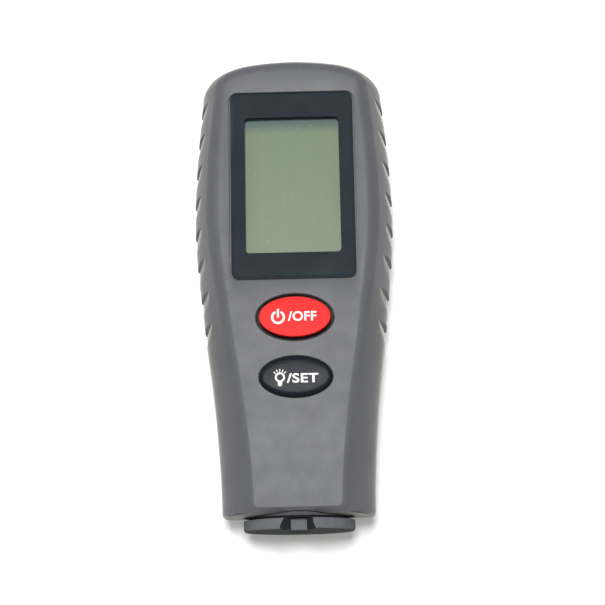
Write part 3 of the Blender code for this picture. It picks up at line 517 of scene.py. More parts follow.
def grip_shift(rows, scoops, shares, height, last_row):
    """How far the rows move towards the display end: a curved lean, and ramps that shorten to the tip."""
    lean = grip_rise * (1 - (1 - np.minimum(height / grip_tip, 1.0)) ** 2.5)
    start = np.clip((rows - first_step + 3 * grip_ramp) / (2 * grip_ramp), 0.0, 1.0)
    last_step = first_step + (grip_count - 1) * grip_pitch + grip_lip
    end = np.clip((last_row - rows) / (last_row - last_step), 0.0, 1.0)
    below = np.where(shares > 0, first_step + scoops * grip_pitch - rows, 0.0)
    shorter = 0.55 * (1 - grip_size(np.maximum(height, grip_middle)))
    return lean * start * end + below * shorter


print("first step at y %.2f mm" % (first_step / mm))

# %% [markdown]
# ## The shoulder
# From the parting line the side rises, curves inward to a crease, and a short roll leads from the crease to
# the flat face. Towards the foot the side leans more and the crease sharpens into the border of the face. The
# side is a curve from the parting line to the crease with its slope given at both ends, and the roll a
# parabola. Both are worked out for a whole row of points at once, so one loop of the skin is one height of
# that rule.

# %% Shoulder profiles
crease_places = (0.0, 0.40, 0.635, 0.92)
crease_insets = np.array((6.2, 4.3, 3.35, 3.7)) * mm
roll_places = (0.0, 0.60, 0.92)
roll_widths = np.array((1.4, 2.8, 2.35)) * mm
crease_slope, grip_crease_slope = 0.84, 1.2
slope_foot, slope_grip = 0.2, 0.07
angle_foot, angle_grip = 42.0, 64.0
foot_points, foot_corner_points, head_corner_points, head_points = 24, 8, 18, 24
flat_border = 0.12 * mm


def front_sides(y):
    """At a side: crease inset, roll width, slope at the face and at the crease, angle below the crease."""
    along = (y - foot_y) / case_length
    upper = np.clip((along - 0.25) / 0.25, 0.0, 1.0)
    upper = upper**2 * (3 - 2 * upper)
    return (
        through(crease_places, crease_insets, along),
        through(roll_places, roll_widths, along),
        slope_foot + (slope_grip - slope_foot) * upper,
        crease_slope + (grip_crease_slope - crease_slope) * upper,
        np.radians(angle_foot + (angle_grip - angle_foot) * upper),
    )


def rear_sides(y):
    """The same five values behind, where the edge is a plain rounded one."""
    return tuple(np.full_like(y, value) for value in (2.0 * mm, 2.0 * mm, 0.05, 0.75, math.radians(48)))


front_foot_end = (0.45 * mm, 1.1 * mm, 1.35, 2.3, math.radians(76))
front_head_end = (3.3 * mm, 1.9 * mm, slope_grip, crease_slope, math.radians(60))
rear_end = (1.4 * mm, 1.8 * mm, 0.05, 0.75, math.radians(48))


def spread(foot, side, head):
    """A value round half the outline: level across both ends, eased through the corners."""
    into = np.linspace(0, 1, foot_corner_points + 1)
    out = np.linspace(0, 1, head_corner_points + 1)[1:]
    corner_in = foot + (side[0] - foot) * into
    corner_out = side[-1] + (head - side[-1]) * out**2 * (3 - 2 * out)
    ends = np.full(foot_points, foot), np.full(head_points, head)
    return np.concatenate([ends[0], corner_in, side, corner_out, ends[1]])


def corner_curve(start, corner, end, count):
    """Points on the parabola from start to end that leans towards the corner between them."""
    t = np.linspace(0, 1, count + 1)[:, None]
    return (1 - t) ** 2 * np.array(start) + 2 * t * (1 - t) * np.array(corner) + t**2 * np.array(end)


def half_loop(rows, foot_inset, inset, head_inset, tighter, dents):
    """Right half of a loop, from the middle of the foot end to the middle of the display end."""
    low, high = foot_y + foot_inset, head_y - head_inset
    side = np.column_stack([half_width(rows) - inset - dents, rows])
    near, far = foot_corner * tighter, head_corner * tighter

    def arch(x):
        return high - x**2 / (2 * head_arch_radius)

    start = float(half_width(np.array([low + near]))[0]) - inset[0]
    foot_turn = corner_curve((start - near, low), (start, low), (start, low + near), foot_corner_points)
    last = side[-1, 0]
    head_ends = (last, rows[-1]), (last, arch(last)), (last - far, arch(last - far))
    head_turn = corner_curve(*head_ends, head_corner_points)
    foot_x = np.linspace(0, foot_turn[0, 0], foot_points + 1)[:-1]
    head_x = np.linspace(last - far, 0, head_points + 1)[1:]
    foot_line = np.column_stack([foot_x, np.full_like(foot_x, low)])
    head_line = np.column_stack([head_x, arch(head_x)])
    return np.concatenate([foot_line, foot_turn, side, head_turn[1:], head_line])


def whole_loop(right, z):
    """Both halves of a loop at its heights, mirrored across the middle."""
    both = np.column_stack([right, z])
    return np.concatenate([both, both[-2:0:-1] * (-1, 1, 1)])


def case_loops(facing, sides, foot_end, head_end, thickness, inset=0.0, side_levels=26, roll_levels=9):
    """Loops of one half from the parting line to the flat face; facing is 1 for the front, -1 for the back.

    Up the side, with t falling from 1 to 0, the inset grows as (1-t)^2 and the height is the quadratic curve
    whose middle point lies straight above the parting line. Across the roll the height falls as a parabola.
    """
    height = thickness - inset
    last_row = head_y - head_corner
    rows, scoops, shares = grip_rows(foot_y + sum(foot_end[:2]) + foot_corner + 0.4 * mm, last_row)
    lines = [list(line) for line in zip(foot_end, sides(rows), head_end)]
    for line, shrinking in zip(lines, (0.2, 0.3)):
        line[:] = [np.maximum(value - shrinking * inset, 0.3 * mm) for value in line]
    crease, roll, face_slope, below_slope, angle = (spread(*line) for line in lines)
    crease_height = height - roll * (face_slope + below_slope) / 2
    middle = crease_height - crease * np.tan(angle)
    first = foot_points + foot_corner_points + 1

    def loop(share_crease, share_roll, z, extra=0.0):
        lift = np.clip(z[first : first + len(rows)], 0.0, None)
        dents = 0.0 if inset else grip_dent(scoops, shares, lift)
        moved = rows if inset else rows + grip_shift(rows, scoops, shares, lift, last_row)
        insets = [inset + extra + share_crease * wide + share_roll * more for wide, more in zip(*lines[:2])]
        right = half_loop(moved, *insets, 1 - 0.15 * (share_crease + share_roll), dents)
        return whole_loop(right, parting_z + facing * (seam / 2 + z))

    loops = []
    for t in np.linspace(1, 0, side_levels) ** 1.15:
        loops.append(loop((1 - t) ** 2, 0.0, (1 - t) ** 2 * crease_height + 2 * t * (1 - t) * middle))
    for s in np.linspace(1, 0, roll_levels)[1:]:
        fall = roll * (face_slope * s + (below_slope - face_slope) * s**2 / 2)
        loops.append(loop(1.0, 1.0 - s, height - fall))
    return loops + [loop(1.0, 1.0, np.full_like(roll, height), flat_border)]


print("the face's slope is %.2f at the foot and %.2f at the grip" % (slope_foot, slope_grip))

# %% [markdown]
# ## Openings in the face
# The window sits in a shallow pocket with a sharp dark gap round it, and each key in an oval hole whose edge
# is rounded by the mould. A cut and a bevel would make them, but bevels fail where they meet. Both are loops
# again: rounded rectangles, and ovals whose depth grows slowly at the edge and faster down the hole.

# %% Opening loops
def rounded(half_x, half_y, radius, z, middle, count=10):
    """A rectangle's outline with quarter circles for corners, at the height z."""
    corner = on_circle(np.linspace(0, math.pi / 2, count)) * radius + (half_x - radius, half_y - radius)
    turned_back = corner[::-1]
    quarters = (corner, turned_back * (-1, 1), corner * (-1, -1), turned_back * (1, -1))
    return level(np.concatenate(quarters) + middle, z)


def stepped(half, radius, steps, middle, rounder=1, count=10):
    """Rounded rectangles at the heights of the steps, grown by them, their corners too unless rounder is 0."""
    return [rounded(*(half + out), radius + rounder * out, z, middle, count) for z, out in steps]


def oval(half_x, half_y, z, middle_y):
    """An ellipse's outline at the height z."""
    return level(on_circle(whole_turn(112)) * (half_x, half_y) + (0.0, middle_y), z)


window_low, window_high = span("display_window")
window_middle = (0.0, (window_low[1] + window_high[1]) / 2)
window_half = (window_high - window_low)[:2] / 2
window_corner = 1.6 * mm
clearance = 0.3 * mm
pocket_floor = window_low[2] - clearance
under_face = face_z - wall
aperture_half = (11.2 * mm, 16.0 * mm)
edge_round = 0.12 * mm


def key_middle(node):
    low, high = span(node)
    return (low[1] + high[1]) / 2


red_half, red_play = np.array((7.72, 4.4)) * mm, 0.82 * mm
dark_half, dark_play = np.array((7.85, 4.45)) * mm, 0.12 * mm
dish_width, dish_depth = 0.12 * mm, 0.25 * mm
red_y, dark_y = key_middle("power_button"), key_middle("unit_button")


def pocket_loops():
    """From the face down to the pocket floor, with a slightly rounded edge."""
    steps = [(face_z, edge_round), (face_z - 0.3 * edge_round, 0.3 * edge_round)]
    steps += [(face_z - edge_round, 0.0), (pocket_floor, 0.0)]
    return stepped(window_half + clearance, window_corner + clearance, steps, window_middle)


def aperture_loops():
    heights = (pocket_floor, under_face)
    return [rounded(*aperture_half, window_corner / 2, z, window_middle) for z in heights]


def dish_loops(y, half):
    """A flat ring, the rounded edge and the wall of the key's hole."""
    loops = [oval(*(half + dish_width + 0.3 * mm), face_z, y)]
    for share in np.linspace(0, 1, 12):
        out = dish_width * (1 - share)
        loops.append(oval(*(half + out), face_z - dish_depth * share**1.4, y))
    wall_top = face_z - dish_depth - 0.1 * mm
    return loops + [oval(*(half - 0.03 * mm), wall_top, y), oval(*half, under_face, y)]


# %% [markdown]
# ## Tools for cutting
# A mould leaves holes and bosses that cross several surfaces, such as the foot's round hole. They could be
# worked into the loops, which would bend every row near them, so these few are cut or joined with exact
# Booleans. The tools are blocks and turned bodies that reach past the wall, so no cut lies on a face.


# %% Boolean helper
def carved(mesh, *steps):
    """The mesh after exact Booleans; each step is an operation and the mesh of its tool."""
    target, helpers = placed(mesh.name, mesh), []
    for operation, tool in steps:
        helpers.append(placed("tool", tool))
        modifier = target.modifiers.new(operation.lower(), "BOOLEAN")
        modifier.operation, modifier.solver, modifier.object = operation, "EXACT", helpers[-1]
    result = worked_out(target, *helpers)
    result.name = mesh.name
    result.set_sharp_from_angle(angle=math.radians(30))
    print(f"{mesh.name}: {len(result.polygons)} faces after {len(steps)} cuts")
    return result


def prism(loops):
    """A closed tool from a stack of loops, its two ends closed."""
    skin = Skin()
    skin.stack(loops)
    skin.fan(loops[0], np.mean(loops[0], axis=0))
    skin.fan(loops[-1], np.mean(loops[-1], axis=0))
    return skin.mesh("prism")


def block(low, high):
    """A box between two corners, as a tool."""
    (x0, y0, z0), (x1, y1, z1) = low, high
    flat = np.array([(x0, y0), (x1, y0), (x1, y1), (x0, y1)])
    return prism([level(flat, z0), level(flat, z1)])


def turned(axis, profile, middle, count):
    """Circles round a line along the axis of that number, from (place, radius) pairs."""
    across = [number for number in range(3) if number != axis]
    loops = np.empty((len(profile), count, 3))
    for loop, (place, radius) in zip(loops, profile):
        loop[:, axis] = place
        loop[:, across] = radius * on_circle(whole_turn(count)) + middle
    return loops


sleeve_low, sleeve_high = span("probe_sleeve")
foot_axis_z = (sleeve_low[2] + sleeve_high[2]) / 2
foot_hole_radius, foot_hole_flare = 12.1 * mm, 3.2 * mm
foot_hole_places = (foot_y - 3 * mm, foot_y + 0.2 * mm, foot_y + 5.1 * mm)


def foot_hole():
    """The tool of the foot's round hole, with a flare outside the case."""
    radii = (foot_hole_radius + foot_hole_flare, foot_hole_radius, foot_hole_radius)
    return prism(turned(1, list(zip(foot_hole_places, radii)), (0.0, foot_axis_z), 160))


# %% [markdown]
# ## The front moulding
# One skin runs from the parting line up the sides, over the shoulder, across the face, down into the openings
# and back along the inside. It could be a solid block that is hollowed, but then the wall's thickness would
# have to be watched at every cut, and here the inner loops are the outer ones moved in by the wall.


# %% Front moulding
def shell(facing, sides, foot_end, head_end, thickness):
    """The skin of one half, its outer and inner surface joined at the parting line, and the loops of both."""
    outer = case_loops(facing, sides, foot_end, head_end, thickness)
    inner = case_loops(facing, sides, foot_end, head_end, thickness, wall, 6, 3)
    skin = Skin()
    skin.stack(outer)
    skin.stack(inner)
    skin.patch(outer[0], inner[0])
    return skin, outer, inner


def front_moulding():
    thickness = face_z - parting_z - seam / 2
    skin, outer, inner = shell(1, front_sides, front_foot_end, front_head_end, thickness)
    pocket, aperture = pocket_loops(), aperture_loops()
    dishes = [dish_loops(red_y, red_half + red_play), dish_loops(dark_y, dark_half + dark_play)]
    for opening in (pocket, aperture, *dishes):
        skin.stack(opening)
    skin.patch(pocket[-1], aperture[0])
    skin.patch(outer[-1], pocket[0], *(dish[0] for dish in dishes))
    skin.patch(inner[-1], aperture[-1], *(dish[-1] for dish in dishes))
    return skin.mesh("front_moulding", case_finish)


front = carved(front_moulding(), ("DIFFERENCE", foot_hole()))
dressed("front_moulding", front, "case", "case_plastic", "front_case")

# %% [markdown]
# ## The rear moulding
# Behind, the case is a plain tray with a rounded edge. It holds the battery door in a recess, four screws in
# counterbores and a scoop for a finger at the door's edge. None of those edges lies on a curved surface, so
# the tray is one skin as before and the rest is cut into it and joined to it as in the mould.

# %% Rear moulding
door_low, door_high = span("battery_door")
door_half = np.array(((door_high[0] - door_low[0]) / 2, 27.2 * mm))
door_middle_y = door_low[1] + door_half[1]
door_corner = 2.0 * mm
bay_half = np.array((11.1, 25.5)) * mm
bay_wall, bay_end = 1.2 * mm, 4.0 * mm
recess_top, bay_top, counterbore_top = 2.0 * mm, 12.85 * mm, 7.0 * mm
screw_nodes = [name for name in frame["nodes"] if name.startswith("case_screw")]
boss_radius, counterbore_radius, mouth_bevel = 2.6 * mm, 1.8 * mm, 0.25 * mm
scoop_radius, scoop_sunk, scoop_half = 6.0 * mm, 0.9 * mm, 6.0 * mm
inside_floor = 0.9 * mm


def rear_moulding():
    skin, outer, inner = shell(-1, rear_sides, rear_end, rear_end, parting_z - seam / 2 - rear_low[2])
    skin.patch(outer[-1])
    skin.patch(inner[-1])
    return skin.mesh("rear_moulding", case_finish)


def rear_cuts():
    """The tools of the rear moulding, joined or cut in order."""
    bay_x, (bay_foot, bay_head) = bay_half[0], door_middle_y + bay_half[1] * np.array((-1, 1))
    bay_low = (-bay_x - bay_wall, bay_foot - bay_wall, inside_floor)
    yield "UNION", block(bay_low, (bay_x + bay_wall, bay_head + bay_end, bay_top + bay_wall))
    yield "DIFFERENCE", block((-bay_x, bay_foot, -wall), (bay_x, bay_head, bay_top))
    steps = ((-wall, mouth_bevel), (0.0, mouth_bevel), (0.22 * mm, 0.0), (recess_top, 0.0))
    recess = stepped(door_half + clearance, door_corner + clearance, steps, (0.0, door_middle_y), 0)
    yield "DIFFERENCE", prism(recess)
    mouth = counterbore_radius + mouth_bevel
    hole = [(-wall, mouth), (0.0, mouth)]
    hole += [(z, counterbore_radius) for z in (mouth_bevel, counterbore_top)]
    for name in screw_nodes:
        low, high = span(name)
        place = (low + high)[:2] / 2
        boss = ((inside_floor, boss_radius), (parting_z - 0.5 * mm, boss_radius))
        yield "UNION", prism(turned(2, boss, place, 48))
        yield "DIFFERENCE", prism(turned(2, hole, place, 48))
    scoop = ((-scoop_half, scoop_radius), (scoop_half, scoop_radius))
    yield "DIFFERENCE", prism(turned(0, scoop, (door_low[1] - clearance, scoop_sunk - scoop_radius), 96))
    yield "DIFFERENCE", foot_hole()


rear = carved(rear_moulding(), *rear_cuts())
dressed("rear_moulding", rear, "case", "case_plastic", "rear_case")

# %% [markdown]
# ## The battery door
# The door is a thin plate that lies just below the back's surface. Its outer edge is rounded, and a few low
# ridges near the scoop give the thumb something to push against. Bars laid on the plate would leave faces
# inside it, so each ridge is a tapered body that is joined to the plate, and so are the hooks at the hinge.

# %% Battery door
ridge_count, ridge_pitch, ridge_height, ridge_start = 7, 1.5 * mm, 0.18 * mm, 8.0 * mm
ridge_half_x, ridge_half_y, ridge_sunk = 8.0 * mm, 0.45 * mm, 0.04 * mm
hook_place, hook_half, hook_length, hook_thickness = 7.0 * mm, 2.0 * mm, 3.2 * mm, 0.8 * mm


def door_plate():
    """A rounded plate, its outer edge rounded."""
    low, high = door_low[2], door_high[2]
    steps = ((high, 0.0), (low + 0.3 * mm, 0.0), (low + 0.09 * mm, -0.09 * mm), (low, -0.3 * mm))
    loops = stepped(door_half, door_corner, steps, (0.0, door_middle_y))
    return plate("battery_door_plate", door_finish, loops)


def ridge(y):
    """One low ridge: half an ellipse across, its ends tapering to nothing."""
    share = np.linspace(-1, 1, 25)
    turn = whole_turn(16)
    size = np.sqrt(np.clip(1 - share**6, 0.02, 1.0))[:, None]
    x = np.repeat(share[:, None] * ridge_half_x, len(turn), axis=1)
    across = y + ridge_half_y * size * np.cos(turn)
    z = door_low[2] + ridge_sunk + ridge_height * size * np.sin(turn)
    return prism(list(np.dstack([x, across, z])))


def door_with_grip():
    """The plate, its ridges and the two hooks that go under the case at the hinge."""
    first = door_low[1] + ridge_start
    tools = [ridge(first + number * ridge_pitch) for number in range(ridge_count)]
    for x in (-hook_place, hook_place):
        hook_low = (x - hook_half, door_high[1] - hook_length, door_high[2] - hook_thickness)
        tools.append(block(hook_low, (x + hook_half, door_high[1], door_high[2])))
    return carved(door_plate(), *(("UNION", tool) for tool in tools))


dressed("battery_door_plate", door_with_grip(), "battery_cover", "case_plastic", "battery_door")

# %% [markdown]
# ## The window
# The window is a moulded lens with a narrow chamfer all round and a dark mask printed behind it, which leaves
# the display free. A pane with a separate frame would show a joint, so it is one chamfered solid, and its
# material is opaque where the mask is and nearly clear over the display.

# %% Window
rim_width, rim_drop = 0.6 * mm, 0.23 * mm
display_half = np.array((10.45, 15.5)) * mm
display_corner = 0.9 * mm


def display_mask(place):
    """1 over the display and 0 on the mask: the distance outside a rounded rectangle, as a narrow step."""
    squares = []
    for axis in (0, 1):
        away = (place.axis(axis) - float(window_middle[axis])).sum("ABSOLUTE")
        out = (away - float(display_half[axis] - display_corner)).sum("MAXIMUM", 0.0)
        squares.append(out * out)
    outside = (squares[0] + squares[1]) ** 0.5
    return outside.above(display_corner + 0.03 * mm, display_corner - 0.03 * mm)


def window_material():
    made, place, shader = new_finish("window_plastic", 0.06, Specular_IOR_Level=0.25)
    clear = display_mask(place)
    smear = place.noise(7 * mm, 3.0, 0.2)
    feed(shader, "Base Color", smear.above(0.3, 0.8).mix(rgba((43, 50, 56)), rgba((48, 56, 62))))
    feed(shader, "Roughness", 0.05 + 0.06 * smear)
    feed(shader, "Alpha", 1.0 - 0.9 * clear)
    bump(place, shader, place.noise(6 * mm, 1.0, 0.5), 0.003 * mm)
    return made


def window_lens():
    low, top = window_low[2], window_high[2] - rim_drop
    steps = ((low, 0.0), (top - 0.08 * mm, 0.0), (top, -0.07 * mm), (window_high[2], -rim_width))
    loops = stepped(window_half, window_corner, steps, window_middle, 0, 14)
    return plate("window_lens", window_material(), loops, 15.0)


dressed("window_lens", window_lens(), "case", "window_plastic", "display_window")

# %% [markdown]
# ## The keys
# Each key is an oval cap with a very flat dome for its top, a rounded edge, and a flange below the face that
# keeps it in. The dark key's edge is broad, and its top lies a little below a fine rim. A scaled sphere has
# no such edge, so a cap is a stack of ovals; its height falls with the square of the distance from the
# middle.

# %% Key caps
key_rise, key_dome = 0.97 * mm, 0.2 * mm
rim_step = 0.05 * mm
flange_thickness = 0.9 * mm
stem_half = (1.65 * mm, 0.94 * mm)
dark_edge, dark_fall, dark_sunk = np.array((0.9, 1.42)) * mm, 0.85 * mm, 0.22 * mm


def cap_height(points, middle_y):
    """Height of a key's top: the full height less the dome's fall."""
    out = (points[:, 0] / red_half[0]) ** 2 + ((points[:, 1] - middle_y) / red_half[1]) ** 2
    return face_z + key_rise - key_dome * out


def key_cap(name, node, finish, half, edge=0.2 * mm, fall=0.25 * mm, sunk=0.0):
    """A cap whose top is edge narrower than its wall at the ends and sides, and sunk below a fine rim."""
    middle_y = key_middle(node)
    low, high = span(node)
    flange = (high - low)[:2] / 2
    plateau = half - edge
    loops = [oval(*(plateau * share), 0.0, middle_y) for share in np.linspace(0.06, 1, 12)]
    for ring in loops:
        ring[:, 2] = cap_height(ring, middle_y) - sunk
    edge_z = loops[-1][:, 2] + sunk
    if sunk:
        plateau, edge = plateau + rim_step, edge - rim_step
        loops.append(oval(*plateau, edge_z, middle_y))
    for turn in np.linspace(0, math.pi / 2, 9)[1:]:
        loops.append(oval(*(plateau + edge * math.sin(turn)), edge_z - fall * (1 - math.cos(turn)), middle_y))
    flange_z = under_face - clearance
    below = flange_z - flange_thickness
    loops += [oval(*size, z, middle_y) for size, z in ((half, flange_z), (flange, flange_z), (flange, below))]
    stem = [oval(*stem_half, z, middle_y) for z in (below, low[2])]
    skin = Skin()
    skin.stack(loops)
    skin.fan(loops[0], (0.0, middle_y, face_z + key_rise - sunk))
    skin.patch(loops[-1], stem[0])
    skin.stack(stem)
    skin.patch(stem[1])
    return skin.mesh(name, finish, sharp=40.0)


red_cap = key_cap("power_key_cap", "power_button", red_finish, red_half)
dressed("power_key_cap", red_cap, "power_key", "red_plastic", "power_button")
dark_cap = key_cap("unit_key_cap", "unit_button", dark_finish, dark_half, dark_edge, dark_fall, dark_sunk)
dressed("unit_key_cap", dark_cap, "unit_key", "dark_plastic", "unit_button")

# %% [markdown]
# ## The symbols on the keys
# White symbols are printed on the keys: the power sign on the red one and a lamp on the dark one, each with a
# word beside it. Print can be an image on the cap, which blurs close up, so each sign is a film of ink with a
# real edge. It is drawn flat, then every point is lifted to the height of the dome under it.

# %% Symbols
ink_sunk, ink_proud = 0.02 * mm, 0.015 * mm


def on_cap(mesh, middle_y, sunk=0.0):
    """Lifts a flat film, whose upper points have z above zero, onto a cap."""
    points = np.empty(3 * len(mesh.vertices), np.float32)
    mesh.vertices.foreach_get("co", points)
    points = points.reshape(-1, 3)
    upper = points[:, 2] > 0
    points[:, 2] = cap_height(points, middle_y) - sunk + np.where(upper, ink_proud, -ink_sunk)
    mesh.vertices.foreach_set("co", points.ravel())
    mesh.update()
    return mesh


def films(name, shapes):
    """A flat film for each shape, which is an outline and its holes, all in one mesh."""
    skin = Skin()
    for outline, *holes in shapes:
        for loop in (outline, *holes):
            skin.stack([level(loop, -mm), level(loop, mm)])
        for z in (-mm, mm):
            skin.patch(level(outline, z), *(level(hole, z) for hole in holes))
    return skin.mesh(name, symbol_finish)


def stroke(start, end, width):
    """The outline of a straight stroke with round ends."""
    start, end = np.array(start), np.array(end)
    angle = math.atan2(*(end - start)[::-1])
    caps = []
    for middle, facing in ((end, 0.0), (start, math.pi)):
        turn = angle + facing + np.linspace(-math.pi / 2, math.pi / 2, 9)
        caps.append(middle + width / 2 * on_circle(turn))
    return np.concatenate(caps)


def bow(middle, radius, width, start, end):
    """The outline of a stroke bent along a circle between two angles in degrees, with round ends."""
    around = on_circle(np.radians(np.linspace(start, end, 40)))
    tips = []
    for place, sense in ((around[-1], 1), (around[0], -1)):
        across = math.atan2(place[1], place[0]) + (0.0 if sense > 0 else math.pi)
        tip = across + np.linspace(0, math.pi, 8)[1:-1]
        tips.append(place * radius + width / 2 * on_circle(tip))
    outer, inner = around * (radius + width / 2), around * (radius - width / 2)
    return np.concatenate([outer, tips[0], inner[::-1], tips[1]]) + middle


def word(text, low, high):
    """Letters fitted into the rectangle between two corners, as a flat film."""
    curve = bpy.data.curves.new("word", "FONT")
    curve.body, curve.extrude, curve.offset, curve.space_character = text, 0.5, 0.022, 1.06
    mesh = worked_out(placed("word", curve))
    bm = bmesh.new()
    bm.from_mesh(mesh)
    bmesh.ops.remove_doubles(bm, verts=bm.verts, dist=1e-5)
    places = np.array([vert.co for vert in bm.verts])
    least, most = places.min(axis=0), places.max(axis=0)
    for vert, place in zip(bm.verts, places):
        x, y = np.array(low) + (np.array(high) - low) * ((place - least) / (most - least))[:2]
        vert.co = (x, y, math.copysign(mm, place[2]))
    settle(bm, mesh, symbol_finish)
    return mesh


line_width, ray_width = 0.48 * mm, 0.22 * mm
power_middle = np.array((-3.6 * mm, red_y - 0.17 * mm))
power_line = [power_middle + (0.0, up) for up in (0.1 * mm, 1.66 * mm)]
power_shapes = [[bow(power_middle, 1.26 * mm, line_width, 125, 415)], [stroke(*power_line, line_width)]]
power_sign = films("power_sign", power_shapes)
dressed("power_sign", on_cap(power_sign, red_y), "power_key", "red_plastic")
power_word = word("/OFF", (-1.46 * mm, red_y - 1.06 * mm), (4.66 * mm, red_y + 1.06 * mm))
dressed("power_word", on_cap(power_word, red_y), "power_key", "red_plastic")

lamp_middle = np.array((-3.4 * mm, dark_y - 0.22 * mm))
lamp_shapes = [[lamp_middle + radius * mm * on_circle(whole_turn(40)) for radius in (1.08, 0.68)]]
socket_line = [lamp_middle + (0.0, up) for up in (-1.2 * mm, -1.46 * mm)]
lamp_shapes.append([stroke(*socket_line, 0.92 * mm)])
for ray in on_circle(np.radians((42, 66, 90, 114, 138))):
    lamp_shapes.append([stroke(lamp_middle + 1.34 * mm * ray, lamp_middle + 1.68 * mm * ray, ray_width)])
lamp_sign = films("lamp_sign", lamp_shapes)
dressed("lamp_sign", on_cap(lamp_sign, dark_y, dark_sunk), "unit_key", "dark_plastic")
set_word = word("/SET", (-1.95 * mm, dark_y - 1.44 * mm), (4.8 * mm, dark_y + 0.59 * mm))
dressed("set_word", on_cap(set_word, dark_y, dark_sunk), "unit_key", "dark_plastic")

# %% [markdown]
# ## The foot
# The foot is a turned sleeve: a disc with a rounded rim, a ring behind it painted near-black as shade, a neck
# that slides in the case, and a tube inside. A small hole in the disc lets the sensor's tip out, and a notch in
# the rim shows where the tip stands. It could be a row of cylinders, but their edges would stay sharp, so one
# profile is turned about the axis and only the notch is cut. The front face, the neck and the notch's side
# walls are coloured darker as painted shade. A spring pushes the sleeve out and gets shorter when it is
# pressed.

# %% Foot
disc_radius = (sleeve_high[0] - sleeve_low[0]) / 2
neck_radius, ring_radius = disc_radius - 1.0 * mm, disc_radius - 1.6 * mm
tube_radius, bore_radius, tip_radius = 9.0 * mm, 7.2 * mm, 2.4 * mm
neck_back = foot_y + 4.0 * mm
notch_floor_half, notch_depth, notch_top = 1.7 * mm, 4.1 * mm, 6.0 * mm


def arc(middle, radius, start, end, count=6):
    """(radius, y) points on a quarter of a circle, between two angles in degrees."""
    return list(middle + radius * on_circle(np.radians(np.linspace(start, end, count))))


def with_foot_finishes(mesh, index_of):
    """Gives the mesh the foot's three materials, and each face the one whose number index_of returns."""
    mesh.materials.clear()
    for finish in (probe_finish, foot_shade_finish, notch_shade_finish):
        mesh.materials.append(finish)
    for face in mesh.polygons:
        face.material_index = index_of(face)
    return mesh


def foot_sleeve():
    """The turned sleeve, its front face and neck coloured darker than the disc's rim as painted shade."""
    front, back_end = sleeve_low[1], sleeve_high[1]
    rim, back_rim, web = 0.55 * mm, 0.25 * mm, front + 1.8 * mm
    profile = [(tip_radius, web), (tip_radius, front + 0.2 * mm), (2.6 * mm, front)]
    profile += arc((disc_radius - rim, front + rim), rim, -90, 0)
    profile += arc((disc_radius - back_rim, disc_back - back_rim), back_rim, 0, 90)
    profile += [(ring_radius, disc_back), (ring_radius, ring_back)]
    profile += [(neck_radius - 0.1 * mm, ring_back), (neck_radius, ring_back + 0.1 * mm)]
    profile += [(neck_radius, neck_back), (tube_radius, neck_back), (tube_radius, back_end)]
    profile += [(bore_radius, back_end), (bore_radius, web), (tip_radius, web)]
    skin = Skin()
    skin.stack(turned(1, [(y, radius) for radius, y in profile], (0.0, foot_axis_z), 192))
    mesh = skin.mesh("foot_sleeve", probe_finish)
    return with_foot_finishes(mesh, lambda face: int(not front + 0.12 * mm < face.center.y < ring_back))


def notch_tool():
    """A wedge over the rim: wider at the front face than behind, with a narrow floor and side walls painted
    dark as shade.
    """
    floor_z = foot_axis_z + disc_radius - notch_depth
    loops = []
    for back, half in ((-0.5 * mm, 4.4 * mm), (2.5 * mm, 3.2 * mm)):
        reach = half + (half - notch_floor_half) * (notch_top - notch_depth) / notch_depth
        y, top_z = sleeve_low[1] + back, floor_z + notch_top
        low_pair = (-notch_floor_half, y, floor_z), (notch_floor_half, y, floor_z)
        loops.append([*low_pair, (reach, y, top_z), (-reach, y, top_z)])
    return with_foot_finishes(prism(np.array(loops)), lambda face: 2 * int(abs(face.normal.x) > 0.3))


def foot_spring():
    """The sleeve's spring: a copy of its solid, with its own mesh, that rides the foot."""
    solid = frame["nodes"]["probe_spring"]
    mesh = solid.data.copy()
    mesh.transform(solid.matrix_world)
    low, high = span("probe_spring")
    spring = dressed("foot_spring", mesh, "probe", "spring_steel", "probe_spring")
    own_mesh(spring)
    return spring


foot = carved(foot_sleeve(), ("DIFFERENCE", notch_tool()))
dressed("foot_sleeve", foot, "probe", "probe_plastic", "probe_sleeve")
spring_piece = foot_spring()

# %% [markdown]
# ## The display and what lies inside
# Behind the window lies a reflective display in its frame, and inside the case a board with two switches, two
# cells, their contacts and the sensor. Their solids have the right shape already and hardly show, so they are
# kept, and each gets a finish made from nodes instead of a flat colour. Only the display is seen: its front
# is grey-green with fine upright streaks, and a painted shade darkens it towards its display end, under the
# window's edge.


# %% Display and inner finishes
def display_finish():
    """Grey-green glass with a painted shade along its far end, faint streaks and a few specks of dust."""
    made, place, shader = new_finish("display_glass", 0.3, Specular_IOR_Level=0.2)
    far_end = float(window_middle[1] + display_half[1])
    drawn = place.node("ShaderNodeVectorMath", {0: place, 1: (1.0, 0.04, 1.0)}, operation="MULTIPLY")
    streaks = drawn.noise(0.9 * mm, 2.0)
    ragged = place.axis(1) + 0.9 * mm * (streaks - 0.5)
    # painted shade: the display's far end is coloured darker for the shade of the window's edge
    shade = ragged.above(far_end - 3.6 * mm, far_end - 0.4 * mm)
    specks = place.noise(0.5 * mm, 0.0, 0.3).above(0.79, 0.82)
    glass = streaks.above(0.25, 0.75).mix(rgba((149, 166, 137)), rgba((151, 168, 139)))
    glass = shade.mix(glass, rgba((116, 136, 130)))
    feed(shader, "Base Color", (0.6 * specks).mix(glass, rgba((196, 204, 190))))
    feed(shader, "Roughness", 0.28 + 0.08 * place.noise(3 * mm, 2.0, 0.4))
    bump(place, shader, drawn.noise(0.4 * mm, 1.0, 0.6), 0.001 * mm)
    return made


